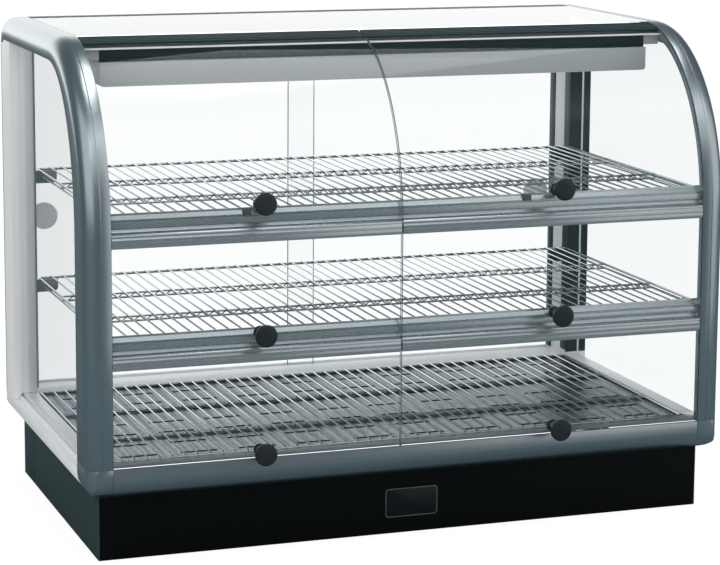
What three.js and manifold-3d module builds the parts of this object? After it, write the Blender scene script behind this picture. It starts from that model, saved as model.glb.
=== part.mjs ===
// Heated counter display case with six top-hung glass flaps and two sliding rear doors.
// Millimetres, X to the right, Y to the back, Z up. Drawn with Y zero at the flat front
// plane of the end frames; the last lines move the case so that its box stands centred.
import * as THREE from 'three';
import Module from 'manifold-3d';
import { mergeVertices } from 'three/addons/utils/BufferGeometryUtils.js';

// Whole case
const caseWidth = 1000;
const caseDepth = 585;
const caseHeight = 742;
const sheet = 1.5;
const glass = 4;
const restGap = 0.3;
const runGap = 0.7;
const overrun = 5;
const fullTurn = 360;
const roundSteps = 6;
const curveSteps = 24;
const turnSteps = 24;

// Plinth of folded steel panels round a base pan
const plinthSideInset = 24;
const plinthFront = 33;
const plinthRearInset = 41;
const plinthTop = 95.7;
const frontPanelInset = 0.5;
const sidePanelFlange = 12;
const rearCoverReturn = 81.5;
const panUpstand = 14;

// Rails round the deck, all rounded below
const railHeight = 46.4;
const railRound = 31;
const frontRailBack = 45;
const frontRailLip = 12.7;
const railCoreFront = 13;
const railCoreBottom = 11;
const railCoreWall = 4;
const sideRailStep = 9.4;
const sideRailLedge = 9;
const sideRailRebate = 3;
const glassGrooveDepth = 5.4;
const rearRailSeat = 12;
const rearRailDepth = 99;

// End frames: a web to the front and top, a deeper flange on the outside
const frameWidth = 39;
const frameRound = 23;
const curveDepth = 220;
const curveRise = 272;
const rearRound = 40;
const webDepth = 15;
const webDepthTop = 16;
const flangeThickness = 12;
const flangeDepth = 60;
const flangeDepthTop = 35;
const endGlassGap = 1.5;

// Rear posts and the jambs behind them
const postInset = 85;
const postDepth = 60;
const postWall = 3;
const jambCoreInset = 10;

// Top rails and top glass
const topRailReach = 36;
const topRailFlange = 2;
const topRailDrop = 19;
const topRailWall = 4;
const topHingeToWall = 6;
const rearTopRailDepth = 73.7;
const rearTopRailSeat = 11.5;
const rearTopRailSeatThickness = 4;
const rearTopRailCoreInset = 6;
const rearTopRailCoreDepth = 38;

// Shelf rails, racks and deck
const shelfBelowCurve = 10;
const lowerShelfShare = 0.449;
const shelfLowerFace = 13;
const shelfUpperFace = 8.2;
const shelfFoot = 1;
const shelfStep = 21.5;
const shelfBodyTop = 37;
const shelfBack = 28;
const shelfSeatBack = 34;
const shelfSeatTop = 42;
const shelfSeatThickness = 5;
const shelfLipFront = 12;
const shelfLipThickness = 2;
const shelfLipTop = 49;
const shelfCoreWall = 3;
const rackSideGap = 3;
const rackThickness = 6;
const rackWire = 5;
const rackRearGap = 2;
const rackBars = 25;
const rackCrossBars = 4;
const lowerRackFront = 46;
const supportDepth = 18;
const supportFootGap = 7.6;
const supportTopGap = 52;
const supportTabReach = 35;
const supportTabHeight = 20;
const supportTabThickness = 3;
const supportTabRound = 8;
const floorDrop = 3.4;
const floorSlotLength = 56;
const floorSlotWidth = 8;
const floorSlotColumns = 10;
const floorSlotRows = 7;
const floorMargin = 30;

// Lamp housing hung under the front top rail
const lampEndGap = 25;
const lampDepth = 120;
const lampHeight = 52.7;
const lampBandHeight = 17.7;
const lampBandSetback = 8;
const lampCornerRound = 5;
const lampEarHeight = 14;
const lampEarDepth = 44;
const lampTubeDiameter = 12;
const lampCapDiameter = 18;
const lampCapLength = 30;
const lampTubeBack = 60;
const lampTubeDrop = 33;

// Flaps, their hinges and knobs
const flapSeamX = -26;
const flapSeamGap = 2.4;
const flapInset = 2;
const flapRestGap = 0.8;
const beadRadius = 2;
const neckThickness = 1;
const socketGap = 0.4;
const socketWall = 1.8;
const socketFrom = -20;
const socketTo = 95;
const hingeY = 4.5;
const hingeRise = 16.5;
const hingeBack = 12;
const hingeShoulder = 2.6;
const hingeGrip = 9;
const topHingeInset = 21;
const topHingeDrop = 5.2;
const topHingeStripHeight = 9.5;
const topHingeStripBack = 1.2;
const topHingeLip = 10;
const knobDiameter = 33;
const knobLength = 38;
const knobDisc = 10;
const knobShank = 15;
const knobRound = 2;
const knobStud = 6.4;
const knobHole = 7;
const knobNut = 11;
const knobNutLength = 2;
const upperKnobRise = 54.5;
const middleKnobRise = 44;
const lowerKnobRise = 12.6;

// Rear doors
const doorGlass = 5;
const doorTrackInset = 22.5;
const doorTrackPitch = 9.5;
const doorTrackSide = 1;
const doorEndGap = 2;
const leftDoorReach = 24;
const rightDoorReach = 18;
const doorBottomGroove = 7.7;
const doorTopGroove = 14;
const doorTopEngage = 10;
const pullDiameter = 43;
const pullHole = 38;
const pullInset = 27;
const pullBelowMiddle = 4.2;
const pullFlange = 1.1;
const pullCup = 30;
const pullFloor = 1.5;

// Controls, heater and cable entry
const controlZ = 50;
const dialInset = 146;
const dialDiameter = 44;
const dialHeight = 20;
const dialSkirt = 5;
const dialStem = 6;
const dialGrip = 32;
const thermostatWidth = 42;
const thermostatHeight = 36;
const thermostatDepth = 32;
const switchPitch = 75;
const switchWidth = 22;
const switchHeight = 30;
const switchBezel = 3;
const switchBezelThickness = 2;
const switchDepth = 26;
const switchWall = 2;
const rockerRise = 3;
const rockerRadius = 26;
const rockerGap = 0.5;
const rockerDepth = 8;
const rockerFoot = 6;
const rockerTilt = 8;
const glandInset = 126;
const glandZ = 36;
const glandThread = 20;
const glandNut = 28;
const glandNutLength = 8;
const glandDome = 22;
const glandDomeLength = 14;
const glandNose = 16;
const glandBore = 9;
const glandInside = 12;
const heaterTube = 8;
const heaterEndGap = 141;
const heaterRearGap = 86;
const heaterRuns = 4;
const heaterFront = 115;
const heaterSides = 6;
const heaterSteps = 120;

// Sizes that follow from the ones above
const halfWidth = caseWidth / 2;
const innerHalf = halfWidth - frameWidth;
const spanHalf = innerHalf - restGap;
const flapHalf = innerHalf - runGap;
const plinthWidth = caseWidth - 2 * plinthSideInset;
const plinthRear = caseDepth - plinthRearInset;
const railBottom = plinthTop + restGap;
const railTop = railBottom + railHeight;
const rearRailFront = caseDepth - rearRailDepth;
const floorTop = railTop - floorDrop;
const floorBottom = floorTop - sheet;
const floorFront = frontRailLip + restGap;
const floorRear = rearRailFront + rearRailSeat;
const frameFoot = railTop + restGap;
const curveFoot = caseHeight - curveRise;
const flangeX = halfWidth - flangeThickness;
const glassGrooveX = flangeX - glass - 2 * restGap;
const postFront = caseDepth - postInset;
const postTop = caseHeight - rearRound - restGap;
const topGlassBottom = caseHeight - glass;
const topSeat = topGlassBottom - restGap;
const topHingeY = curveDepth - topHingeInset;
const topHingeZ = caseHeight - topHingeDrop;
const topRailFront = topHingeY - topRailReach;
const topRailBottom = caseHeight - topRailDrop;
const topRailWallFront = topHingeY + topHingeToWall;
const rearTopRailFront = caseDepth - rearTopRailDepth;
const rearTopRailBottom = caseHeight - rearRound;
const upperShelfZ = curveFoot - shelfBelowCurve;
const lowerShelfZ = railTop + lowerShelfShare * (upperShelfZ - railTop);
const rackWidth = 2 * (innerHalf - rackSideGap);
const rackRear = postFront - rackRearGap;
const socketInner = beadRadius + socketGap;
const socketOuter = socketInner + socketWall;
const flapTopEdge = topHingeY - socketOuter - restGap;
const lampTop = topRailBottom - restGap;
const lampBottom = lampTop - lampHeight;
const lampHalfLength = innerHalf - lampEndGap;
const doorTrack = caseDepth - doorTrackInset;
const pullZ = (railTop + rearTopRailBottom) / 2 - pullBelowMiddle;
const dialX = dialInset - plinthWidth / 2;
const switchX = dialX + switchPitch;
const glandX = plinthWidth / 2 - glandInset;
const heaterPitch = (rearRailFront - heaterRearGap - heaterFront) / (heaterRuns - 1);
const heaterSpan = 2 * (innerHalf - heaterEndGap);

const wasm = await Module();
wasm.setup();

// Finishes
function finish(color, roughness, metalness) {
  return new THREE.MeshStandardMaterial({ color, roughness, metalness });
}

function glassFinish() {
  const material = finish(0xdfe6e6, 0.05, 0);
  material.transparent = true;
  material.opacity = 0.3;
  return material;
}

const frameGrey = () => finish(0x46545a, 0.38, 0.6);
const plinthGrey = () => finish(0x2f4246, 0.45, 0.3);
const panelBlack = () => finish(0x060707, 0.3, 0.1);
const satinAluminium = () => finish(0x9aa0a3, 0.35, 0.9);
const paleAluminium = () => finish(0xc4c7c9, 0.4, 0.8);
const stainless = () => finish(0xb4b7b8, 0.3, 1);
const chrome = () => finish(0xd4d8da, 0.12, 1);
const knobBlack = () => finish(0x14191b, 0.45, 0);
const housingGrey = () => finish(0x8f9397, 0.45, 0.5);
const lampWhite = () => finish(0xe9e4d8, 0.3, 0);

// Naming
function part(name, geometry, material) {
  const mesh = new THREE.Mesh(geometry, material);
  mesh.name = name;
  return mesh;
}

// Drawing

// Closed outline, always anticlockwise so that holes in a mirrored one still come out right
function outline(points) {
  const corners = points.map(([a, b]) => new THREE.Vector2(a, b));
  return new THREE.Shape(THREE.ShapeUtils.isClockWise(corners) ? corners.reverse() : corners);
}

function extrude(points, depth, holes) {
  const shape = outline(points);
  for (const hole of holes) {
    shape.holes.push(outline(hole));
  }
  return new THREE.ExtrudeGeometry(shape, { depth, bevelEnabled: false });
}

// Section drawn in Y and Z, run along X from x0 to x1
function alongX(points, x0, x1, holes = []) {
  const geometry = extrude(points, x1 - x0, holes);
  const y = new THREE.Vector3(0, 1, 0);
  const z = new THREE.Vector3(0, 0, 1);
  const x = new THREE.Vector3(1, 0, 0);
  geometry.applyMatrix4(new THREE.Matrix4().makeBasis(y, z, x));
  return geometry.translate(x0, 0, 0);
}

// Section drawn in X and Z, run along Y from y0 to y1
function alongY(points, y0, y1, holes = []) {
  const geometry = extrude(points, y1 - y0, holes);
  geometry.rotateX(Math.PI / 2);
  return geometry.translate(0, y1, 0);
}

// Section drawn in X and Y, run up Z from z0 to z1
function alongZ(points, z0, z1, holes = []) {
  return extrude(points, z1 - z0, holes).translate(0, 0, z0);
}

function block(x0, x1, y0, y1, z0, z1) {
  const geometry = new THREE.BoxGeometry(x1 - x0, y1 - y0, z1 - z0);
  return geometry.translate((x0 + x1) / 2, (y0 + y1) / 2, (z0 + z1) / 2);
}

// The same block on the left or the right of the case
function sideBlock(side, x0, x1, ...rest) {
  return block(Math.min(side * x0, side * x1), Math.max(side * x0, side * x1), ...rest);
}

function rectangle(a0, a1, b0, b1) {
  return [[a0, b0], [a1, b0], [a1, b1], [a0, b1]];
}

// Point at an angle in degrees round a centre
function polar(a, b, radius, degrees) {
  const angle = THREE.MathUtils.degToRad(degrees);
  return [a + radius * Math.cos(angle), b + radius * Math.sin(angle)];
}

// Evenly spread values, the first and the last kept
function spread(count, first, last) {
  return [...Array(count).keys()].map((i) => first + ((last - first) * i) / (count - 1));
}

// Points on an arc, angles in degrees, both ends kept
function arc(a, b, radius, from, to, steps = roundSteps) {
  return spread(steps + 1, from, to).map((degrees) => polar(a, b, radius, degrees));
}

// The points with their first coordinate taken to the given side of the case
function onSide(side, points) {
  return points.map(([x, other]) => [side * x, other]);
}

// A turned piece: profile of radius and height along Y
function turned(profile) {
  return new THREE.LatheGeometry(profile.map(([r, t]) => new THREE.Vector2(r, t)), turnSteps);
}

function cylinderAlongY(diameter, length) {
  return new THREE.CylinderGeometry(diameter / 2, diameter / 2, length, turnSteps);
}

// Cutting and joining
function solid(geometry) {
  const bare = geometry.clone();
  bare.deleteAttribute('normal');
  bare.deleteAttribute('uv');
  const merged = mergeVertices(bare);
  return new wasm.Manifold(new wasm.Mesh({
    numProp: 3,
    vertProperties: new Float32Array(merged.attributes.position.array),
    triVerts: new Uint32Array(merged.index.array),
  }));
}

function geometryOf(manifold) {
  const mesh = manifold.getMesh();
  const geometry = new THREE.BufferGeometry();
  geometry.setAttribute('position', new THREE.BufferAttribute(mesh.vertProperties, 3));
  geometry.setIndex(new THREE.BufferAttribute(mesh.triVerts, 1));
  geometry.computeVertexNormals();
  return geometry;
}

function cut(geometry, tools) {
  return geometryOf(tools.reduce((body, tool) => body.subtract(solid(tool)), solid(geometry)));
}

function join(geometries) {
  return geometryOf(geometries.map(solid).reduce((body, next) => body.add(next)));
}

function common(geometries) {
  return geometryOf(geometries.map(solid).reduce((body, next) => body.intersect(next)));
}

// Plinth

// Folded pan that the case stands on
function basePan() {
  const front = plinthFront + frontPanelInset + sheet + restGap;
  const rear = plinthRear - sheet - restGap;
  const half = plinthWidth / 2 - sheet - restGap;
  const section = [
    [front, 0], [rear, 0], [rear, panUpstand], [rear - sheet, panUpstand],
    [rear - sheet, sheet], [front + sheet, sheet], [front + sheet, panUpstand],
    [front, panUpstand],
  ];
  return part('base_pan', alongX(section, -half, half), stainless());
}

function plinthFrontPanel() {
  const half = plinthWidth / 2 - sheet - restGap;
  const front = plinthFront + frontPanelInset;
  const panel = block(-half, half, front, front + sheet, restGap, plinthTop);
  return part('plinth_front', panel, panelBlack());
}

// Side panel with its top edge folded in under the rail
function plinthSidePanel(side, hand) {
  const outer = plinthWidth / 2;
  const rear = plinthRear - rearCoverReturn - restGap;
  const flangeFront = plinthFront + frontPanelInset + sheet + restGap;
  const upright = sideBlock(
    side, outer - sheet, outer, plinthFront, rear, restGap, plinthTop);
  const flange = sideBlock(
    side, outer - sidePanelFlange, outer - sheet / 2, flangeFront, rear,
    plinthTop - sheet, plinthTop);
  return part(`plinth_side_${hand}`, join([upright, flange]), plinthGrey());
}

// Rear cover wrapped round both sides, holed for the controls and the cable gland
function plinthRearCover() {
  const half = plinthWidth / 2;
  const inner = half - sheet;
  const front = plinthRear - rearCoverReturn;
  const back = plinthRear - sheet;
  const plan = [[-half, front], [-inner, front], [-inner, back], [inner, back],
    [inner, front], [half, front], [half, plinthRear], [-half, plinthRear]];
  const wall = alongZ(plan, restGap, plinthTop);
  const middle = plinthRear - sheet / 2;
  const stemHole = cylinderAlongY(dialStem + 2 * runGap, sheet + 2 * overrun)
    .translate(dialX, middle, controlZ);
  const glandHole = cylinderAlongY(glandThread + 2 * restGap, sheet + 2 * overrun)
    .translate(glandX, middle, glandZ);
  const switchHole = block(
    switchX - switchWidth / 2 - restGap, switchX + switchWidth / 2 + restGap,
    back - overrun, plinthRear + overrun,
    controlZ - switchHeight / 2 - restGap, controlZ + switchHeight / 2 + restGap);
  return part('plinth_rear', cut(wall, [stemHole, glandHole, switchHole]), plinthGrey());
}

// Rails round the deck

// Hollow front rail with a ledge behind for the floor plate
function frontRail() {
  const seat = floorBottom - restGap;
  const section = [
    [0, railTop],
    ...arc(railRound, railBottom + railRound, railRound, 180, 270),
    [frontRailBack, railBottom], [frontRailBack, seat], [frontRailLip, seat],
    [frontRailLip, railTop],
  ];
  const core = rectangle(
    railCoreFront, frontRailBack - railCoreWall, railBottom + railCoreBottom, seat - railCoreWall);
  return part('front_rail', alongX(section, -spanHalf, spanHalf, [core]), frameGrey());
}

// Side rail: stepped on top, with a groove for the end glass
function sideRail(side, hand) {
  const front = flangeDepth + restGap;
  const far = halfWidth + overrun;
  const near = innerHalf - overrun;
  const step = halfWidth - sideRailLedge;
  const section = [
    [innerHalf, railBottom],
    ...arc(halfWidth - railRound, railBottom + railRound, railRound, 270, 360),
    [halfWidth, railTop - sideRailStep], [step, railTop - sideRailStep],
    [step, railTop - sideRailRebate], [flangeX, railTop - sideRailRebate],
    [flangeX, railTop - glassGrooveDepth], [glassGrooveX, railTop - glassGrooveDepth],
    [glassGrooveX, railTop], [innerHalf, railTop],
  ];
  const plan = [[near, front - overrun], [halfWidth, front - overrun],
    ...arc(halfWidth - frameRound, caseDepth - frameRound, frameRound, 0, 90),
    [near, caseDepth]];
  const sideView = [[front - overrun, railBottom],
    ...arc(caseDepth - railRound, railBottom + railRound, railRound, 270, 360),
    [caseDepth, railTop + overrun], [front - overrun, railTop + overrun]];
  const body = common([
    alongY(onSide(side, section), front, caseDepth),
    alongZ(onSide(side, plan), railBottom - overrun, railTop + overrun),
    alongX(sideView, -far, far),
  ]);
  return part(`side_rail_${hand}`, body, paleAluminium());
}

// Front and back of the running space of each door
function doorGrooves() {
  return [0, 1].map((track) => {
    const front = doorTrack + track * doorTrackPitch;
    return [front - doorTrackSide, front + doorGlass + doorTrackSide];
  });
}

// Rear rail with the lower tracks of the doors
function rearRail() {
  const seat = floorBottom - restGap;
  const groove = railTop - doorBottomGroove;
  const [inner, outer] = doorGrooves();
  const section = [
    [rearRailFront, railBottom],
    ...arc(caseDepth - railRound, railBottom + railRound, railRound, 270, 360),
    [caseDepth, railTop],
    ...[outer, inner].flatMap(([y0, y1]) => [
      [y1, railTop], [y1, groove], [y0, groove], [y0, railTop]]),
    [floorRear + restGap, railTop], [floorRear + restGap, seat], [rearRailFront, seat],
  ];
  return part('rear_rail', alongX(section, -spanHalf, spanHalf), paleAluminium());
}

// Front corner casting: the foot of an end frame, rounded under to the front and the side
function frontCorner(side, hand) {
  const far = halfWidth + overrun;
  const plan = [[innerHalf, 0],
    ...arc(halfWidth - frameRound, frameRound, frameRound, 270, 360),
    [halfWidth, flangeDepth], [innerHalf, flangeDepth]];
  const sideView = [[0, railTop],
    ...arc(railRound, railBottom + railRound, railRound, 180, 270),
    [flangeDepth, railBottom], [flangeDepth, railTop]];
  const frontView = [[innerHalf, railBottom],
    ...arc(halfWidth - railRound, railBottom + railRound, railRound, 270, 360),
    [halfWidth, railTop], [innerHalf, railTop]];
  const body = common([
    alongZ(onSide(side, plan), railBottom, railTop),
    alongX(sideView, -far, far),
    alongY(onSide(side, frontView), 0, flangeDepth),
  ]);
  const groove = sideBlock(side, glassGrooveX, flangeX, webDepth, flangeDepth + overrun,
    railTop - glassGrooveDepth, railTop + overrun);
  return part(`front_corner_${hand}`, cut(body, [groove]), frameGrey());
}

// End frames

// The frame's stations: each gives Y and Z from a depth measured to the back and one downwards
function frameStations() {
  const foot = (dy) => [dy, frameFoot];
  const onCurve = (angle) => (dy, dz) => [
    curveDepth - (curveDepth - dy) * Math.cos(angle),
    curveFoot + (curveRise - dz) * Math.sin(angle),
  ];
  const onRear = (angle) => (dy, dz) => [
    caseDepth - rearRound + (rearRound - dz) * Math.sin(angle),
    caseHeight - rearRound + (rearRound - dz) * Math.cos(angle),
  ];
  const fan = (steps) => spread(steps + 1, 0, Math.PI / 2);
  return [foot, ...fan(curveSteps).map(onCurve), ...fan(roundSteps).map(onRear)];
}

// A bar through a row of like sections, closed at both ends
function lofted(rings, flip) {
  const size = rings[0].length;
  const index = [];
  const face = (a, b, c) => index.push(...(flip ? [a, c, b] : [a, b, c]));
  for (let r = 0; r + 1 < rings.length; r += 1) {
    for (let i = 0; i < size; i += 1) {
      const a = r * size + i;
      const b = r * size + ((i + 1) % size);
      face(a, b, a + size);
      face(b, b + size, a + size);
    }
  }
  const flat = rings[0].map(([x, y]) => new THREE.Vector2(x, y));
  const turnedOver = THREE.ShapeUtils.isClockWise(flat);
  const last = (rings.length - 1) * size;
  for (const [a, b, c] of THREE.ShapeUtils.triangulateShape(flat, [])) {
    const [p, q] = turnedOver ? [c, b] : [b, c];
    face(a, q, p);
    face(last + a, last + p, last + q);
  }
  const geometry = new THREE.BufferGeometry();
  geometry.setAttribute('position', new THREE.Float32BufferAttribute(rings.flat(2), 3));
  geometry.setIndex(index);
  geometry.computeVertexNormals();
  return geometry;
}

function endFrame(side, hand) {
  const section = [
    [innerHalf, 0, 0],
    ...arc(halfWidth - frameRound, frameRound, frameRound, 270, 360).map(([x, d]) => [x, d, d]),
    [halfWidth, flangeDepth, flangeDepthTop], [flangeX, flangeDepth, flangeDepthTop],
    [flangeX, webDepth, webDepthTop], [innerHalf, webDepth, webDepthTop],
  ];
  const rings = frameStations().map((station) => section.map(
    ([x, dy, dz]) => [side * x, ...station(dy, dz)]));
  return part(`end_frame_${hand}`, lofted(rings, side < 0), frameGrey());
}

// Points up the front curve at a depth inside it, as far back as the given distance
function curveLine(dy, dz, back) {
  const end = Math.acos((curveDepth - back) / (curveDepth - dy));
  return spread(curveSteps + 1, 0, end).map((angle) => {
    const y = curveDepth - (curveDepth - dy) * Math.cos(angle);
    return [y, curveFoot + (curveRise - dz) * Math.sin(angle)];
  });
}

// Height of the front curve at a depth inside it and a distance back from the front
function curveHeight(depth, y) {
  const along = (curveDepth - y) / (curveDepth - depth);
  return curveFoot + (curveRise - depth) * Math.sqrt(1 - along ** 2);
}

function endGlass(side, hand) {
  const bottom = railTop - glassGrooveDepth + restGap;
  const front = webDepth + endGlassGap;
  const drop = webDepthTop + endGlassGap;
  const rear = postFront - restGap;
  const section = [[front, bottom], [rear, bottom], [rear, caseHeight - drop],
    ...curveLine(front, drop, curveDepth).reverse()];
  const outer = flangeX - restGap;
  const pane = alongX(section, ...(side < 0 ? [-outer, glass - outer] : [outer - glass, outer]));
  return part(`end_glass_${hand}`, pane, glassFinish());
}

// Rear posts and jambs

// Blocks that cut a foot to the stepped top of the side rail
function footCutters(side) {
  const near = innerHalf - overrun;
  const low = railBottom;
  const step = halfWidth - sideRailLedge + restGap;
  const span = [postFront - overrun, caseDepth + overrun];
  return [
    sideBlock(side, near, flangeX + restGap, ...span, low, frameFoot),
    sideBlock(side, near, step, ...span, low, railTop - sideRailRebate + restGap),
  ];
}

// Hollow post whose head fits up inside the end frame
function rearPost(side, hand) {
  const back = postFront + postDepth;
  const foot = railTop - sideRailStep + restGap;
  const headBack = caseDepth - rearRound;
  const plan = rectangle(innerHalf, halfWidth, postFront, back);
  const core = rectangle(
    innerHalf + postWall, halfWidth - postWall, postFront + postWall, back - postWall);
  const tube = alongZ(onSide(side, plan), foot, postTop, [onSide(side, core)]);
  const webHead = sideBlock(side, innerHalf, flangeX - restGap, postFront, headBack,
    postTop - postWall, caseHeight - webDepthTop - restGap);
  const flangeHead = sideBlock(side, flangeX - postWall, halfWidth, postFront, headBack,
    postTop - postWall, caseHeight - flangeDepthTop - restGap);
  const post = cut(join([tube, webHead, flangeHead]), footCutters(side));
  return part(`rear_post_${hand}`, post, paleAluminium());
}

// Hollow jamb that closes the case behind the post, rounded like the end frame
function rearJamb(side, hand) {
  const front = postFront + postDepth + restGap;
  const foot = railTop - sideRailStep + restGap;
  const plan = [[innerHalf, front], [halfWidth, front],
    ...arc(halfWidth - frameRound, caseDepth - frameRound, frameRound, 0, 90),
    [innerHalf, caseDepth]];
  const core = rectangle(innerHalf + postWall, halfWidth - jambCoreInset,
    front + postWall, caseDepth - jambCoreInset);
  const tube = alongZ(onSide(side, plan), foot, postTop, [onSide(side, core)]);
  return part(`rear_jamb_${hand}`, cut(tube, footCutters(side)), frameGrey());
}

// Top

// Neck and bead that a flap's hinge hangs on, for an outline that runs round it
function beadPoints(wallY, y, z) {
  const half = neckThickness / 2;
  const lean = THREE.MathUtils.radToDeg(Math.asin(half / beadRadius));
  return [[wallY, z + half], ...arc(y, z, beadRadius, lean, fullTurn - lean, 2 * roundSteps),
    [wallY, z - half]];
}

// Front top rail: a flange forward and a wall that carries the top glass and the flaps
function frontTopRail() {
  const top = topRailBottom + topRailFlange;
  const wallBack = topRailWallFront + topRailWall;
  const section = [
    [topRailFront, topRailBottom], [wallBack, topRailBottom], [wallBack, topSeat],
    [topRailWallFront, topSeat], ...beadPoints(topRailWallFront, topHingeY, topHingeZ),
    [topRailWallFront, top], [topRailFront, top],
  ];
  return part('front_top_rail', alongX(section, -spanHalf, spanHalf), paleAluminium());
}

// Rear top rail with the upper tracks of the doors and a seat for the top glass
function rearTopRail() {
  const bottom = rearTopRailBottom;
  const front = rearTopRailFront;
  const seatFront = front - rearTopRailSeat;
  const groove = bottom + doorTopGroove;
  const section = [
    [front, bottom],
    ...doorGrooves().flatMap(([y0, y1]) => [
      [y0, bottom], [y0, groove], [y1, groove], [y1, bottom]]),
    ...arc(caseDepth - rearRound, bottom, rearRound, 0, 90),
    [front, caseHeight], [front, topSeat], [seatFront, topSeat],
    [seatFront, topSeat - rearTopRailSeatThickness], [front, topSeat - rearTopRailSeatThickness],
  ];
  const coreFront = front + rearTopRailCoreInset;
  const core = rectangle(coreFront, coreFront + rearTopRailCoreDepth,
    bottom + rearTopRailCoreInset, caseHeight - rearTopRailCoreInset);
  return part('rear_top_rail', alongX(section, -spanHalf, spanHalf, [core]), frameGrey());
}

function topGlass() {
  const front = topHingeY + socketOuter + runGap;
  const pane = block(-spanHalf, spanHalf, front, rearTopRailFront - restGap,
    topGlassBottom, caseHeight);
  return part('top_glass', pane, glassFinish());
}

// Shelves

// Hollow shelf rail: hinge bead in front, lip and rack seat on top
function shelfRail(z, name) {
  const lipBack = shelfLipFront + shelfLipThickness;
  const seatBottom = z + shelfSeatTop - shelfSeatThickness;
  const section = [
    [shelfLowerFace, z + shelfFoot], [shelfBack, z + shelfFoot], [shelfBack, seatBottom],
    [shelfSeatBack, seatBottom], [shelfSeatBack, z + shelfSeatTop],
    [lipBack, z + shelfSeatTop], [lipBack, z + shelfLipTop], [shelfLipFront, z + shelfLipTop],
    [shelfLipFront, z + shelfBodyTop], [shelfUpperFace, z + shelfBodyTop],
    [shelfUpperFace, z + shelfStep], [shelfLowerFace, z + shelfStep],
    ...beadPoints(shelfLowerFace, hingeY, z + hingeRise),
  ];
  const core = rectangle(shelfLowerFace + shelfCoreWall, shelfBack - shelfCoreWall,
    z + shelfFoot + shelfCoreWall, seatBottom - shelfCoreWall);
  return part(name, alongX(section, -spanHalf, spanHalf, [core]), satinAluminium());
}

// Flat grid for the welded wires: long bars front to back, joined by a few across
function rackGrid(front, z) {
  const half = rackWidth / 2;
  const top = z + rackThickness;
  const bars = spread(rackBars, -half, half - rackWire);
  const crossBars = spread(rackCrossBars, front, rackRear - rackWire);
  const openings = crossBars.slice(1).flatMap((y, j) => bars.slice(1).map((x, i) => block(
    bars[i] + rackWire, x, crossBars[j] + rackWire, y, z - overrun, top + overrun)));
  return cut(block(-half, half, front, rackRear, z, top), openings);
}

function shelfRack(z, name) {
  const front = shelfLipFront + shelfLipThickness + runGap;
  return part(name, rackGrid(front, z + shelfSeatTop + restGap), chrome());
}

// Strip up the inner face of a rear post with a tab under the back of each shelf rack
function shelfSupport(side, hand) {
  const outer = spanHalf;
  const back = postFront + supportDepth;
  const front = rackRear - restGap - supportTabThickness;
  const strip = sideBlock(side, outer - sheet, outer, front, back,
    railTop + supportFootGap, caseHeight - supportTopGap);
  const tabs = [upperShelfZ, lowerShelfZ].map((z) => {
    const top = z + shelfSeatTop;
    const low = top - supportTabHeight;
    const inner = outer - supportTabReach;
    const shape = [[outer - sheet / 2, low],
      [outer - sheet / 2, top], [inner, top],
      ...arc(inner + supportTabRound, low + supportTabRound, supportTabRound, 180, 270)];
    return alongY(onSide(side, shape), front, front + supportTabThickness);
  });
  return part(`shelf_support_${hand}`, join([strip, ...tabs]), stainless());
}

// Floor plate with rows of slots that let the heat up
function floorPlate() {
  const columns = spread(
    floorSlotColumns, floorMargin - spanHalf, spanHalf - floorMargin - floorSlotLength);
  const rows = spread(
    floorSlotRows, frontRailBack + floorMargin, rearRailFront - floorMargin - floorSlotWidth);
  const slots = rows.flatMap((y) => columns.map((x) => block(
    x, x + floorSlotLength, y, y + floorSlotWidth,
    floorBottom - overrun, floorTop + overrun)));
  const plate = block(-spanHalf, spanHalf, floorFront, floorRear, floorBottom, floorTop);
  return part('floor_plate', cut(plate, slots), stainless());
}

// Lamp

// Folded trough open below, its front set back at the top, with an ear at each end
function lampHousing() {
  const front = topRailFront;
  const back = front + lampDepth;
  const band = lampTop - lampBandHeight;
  const setback = front + lampBandSetback;
  const section = [[front, lampBottom], [back, lampBottom], [back, lampTop],
    [setback, lampTop], [setback, band], [front, band]];
  const hollow = [[front + sheet, lampBottom - overrun], [back - sheet, lampBottom - overrun],
    [back - sheet, lampTop - sheet], [setback + sheet, lampTop - sheet],
    [setback + sheet, band - sheet], [front + sheet, band - sheet]];
  const low = lampBottom + lampCornerRound;
  const side = lampHalfLength - lampCornerRound;
  const faceView = [[-lampHalfLength, lampTop],
    ...arc(-side, low, lampCornerRound, 180, 270), ...arc(side, low, lampCornerRound, 270, 360),
    [lampHalfLength, lampTop]];
  const shell = cut(
    common([
      alongX(section, -lampHalfLength, lampHalfLength),
      alongY(faceView, front - overrun, back + overrun),
    ]),
    [alongX(hollow, sheet - lampHalfLength, lampHalfLength - sheet)]);
  const ears = [-1, 1].map((hand) => sideBlock(
    hand, lampHalfLength - sheet / 2, spanHalf, setback, setback + lampEarDepth,
    lampTop - lampEarHeight, lampTop));
  return part('lamp_housing', join([shell, ...ears]), housingGrey());
}

function lampTube() {
  const half = lampHalfLength - sheet - restGap;
  const shoulder = half - lampCapLength;
  const profile = [[0, -half], [lampCapDiameter / 2, -half], [lampCapDiameter / 2, -shoulder],
    [lampTubeDiameter / 2, -shoulder], [lampTubeDiameter / 2, shoulder],
    [lampCapDiameter / 2, shoulder], [lampCapDiameter / 2, half], [0, half]];
  const tube = turned(profile).rotateZ(-Math.PI / 2)
    .translate(0, topRailFront + lampTubeBack, lampTop - lampTubeDrop);
  return part('lamp_tube', tube, lampWhite());
}

// Flaps: each is a group whose origin is its hinge line

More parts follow.
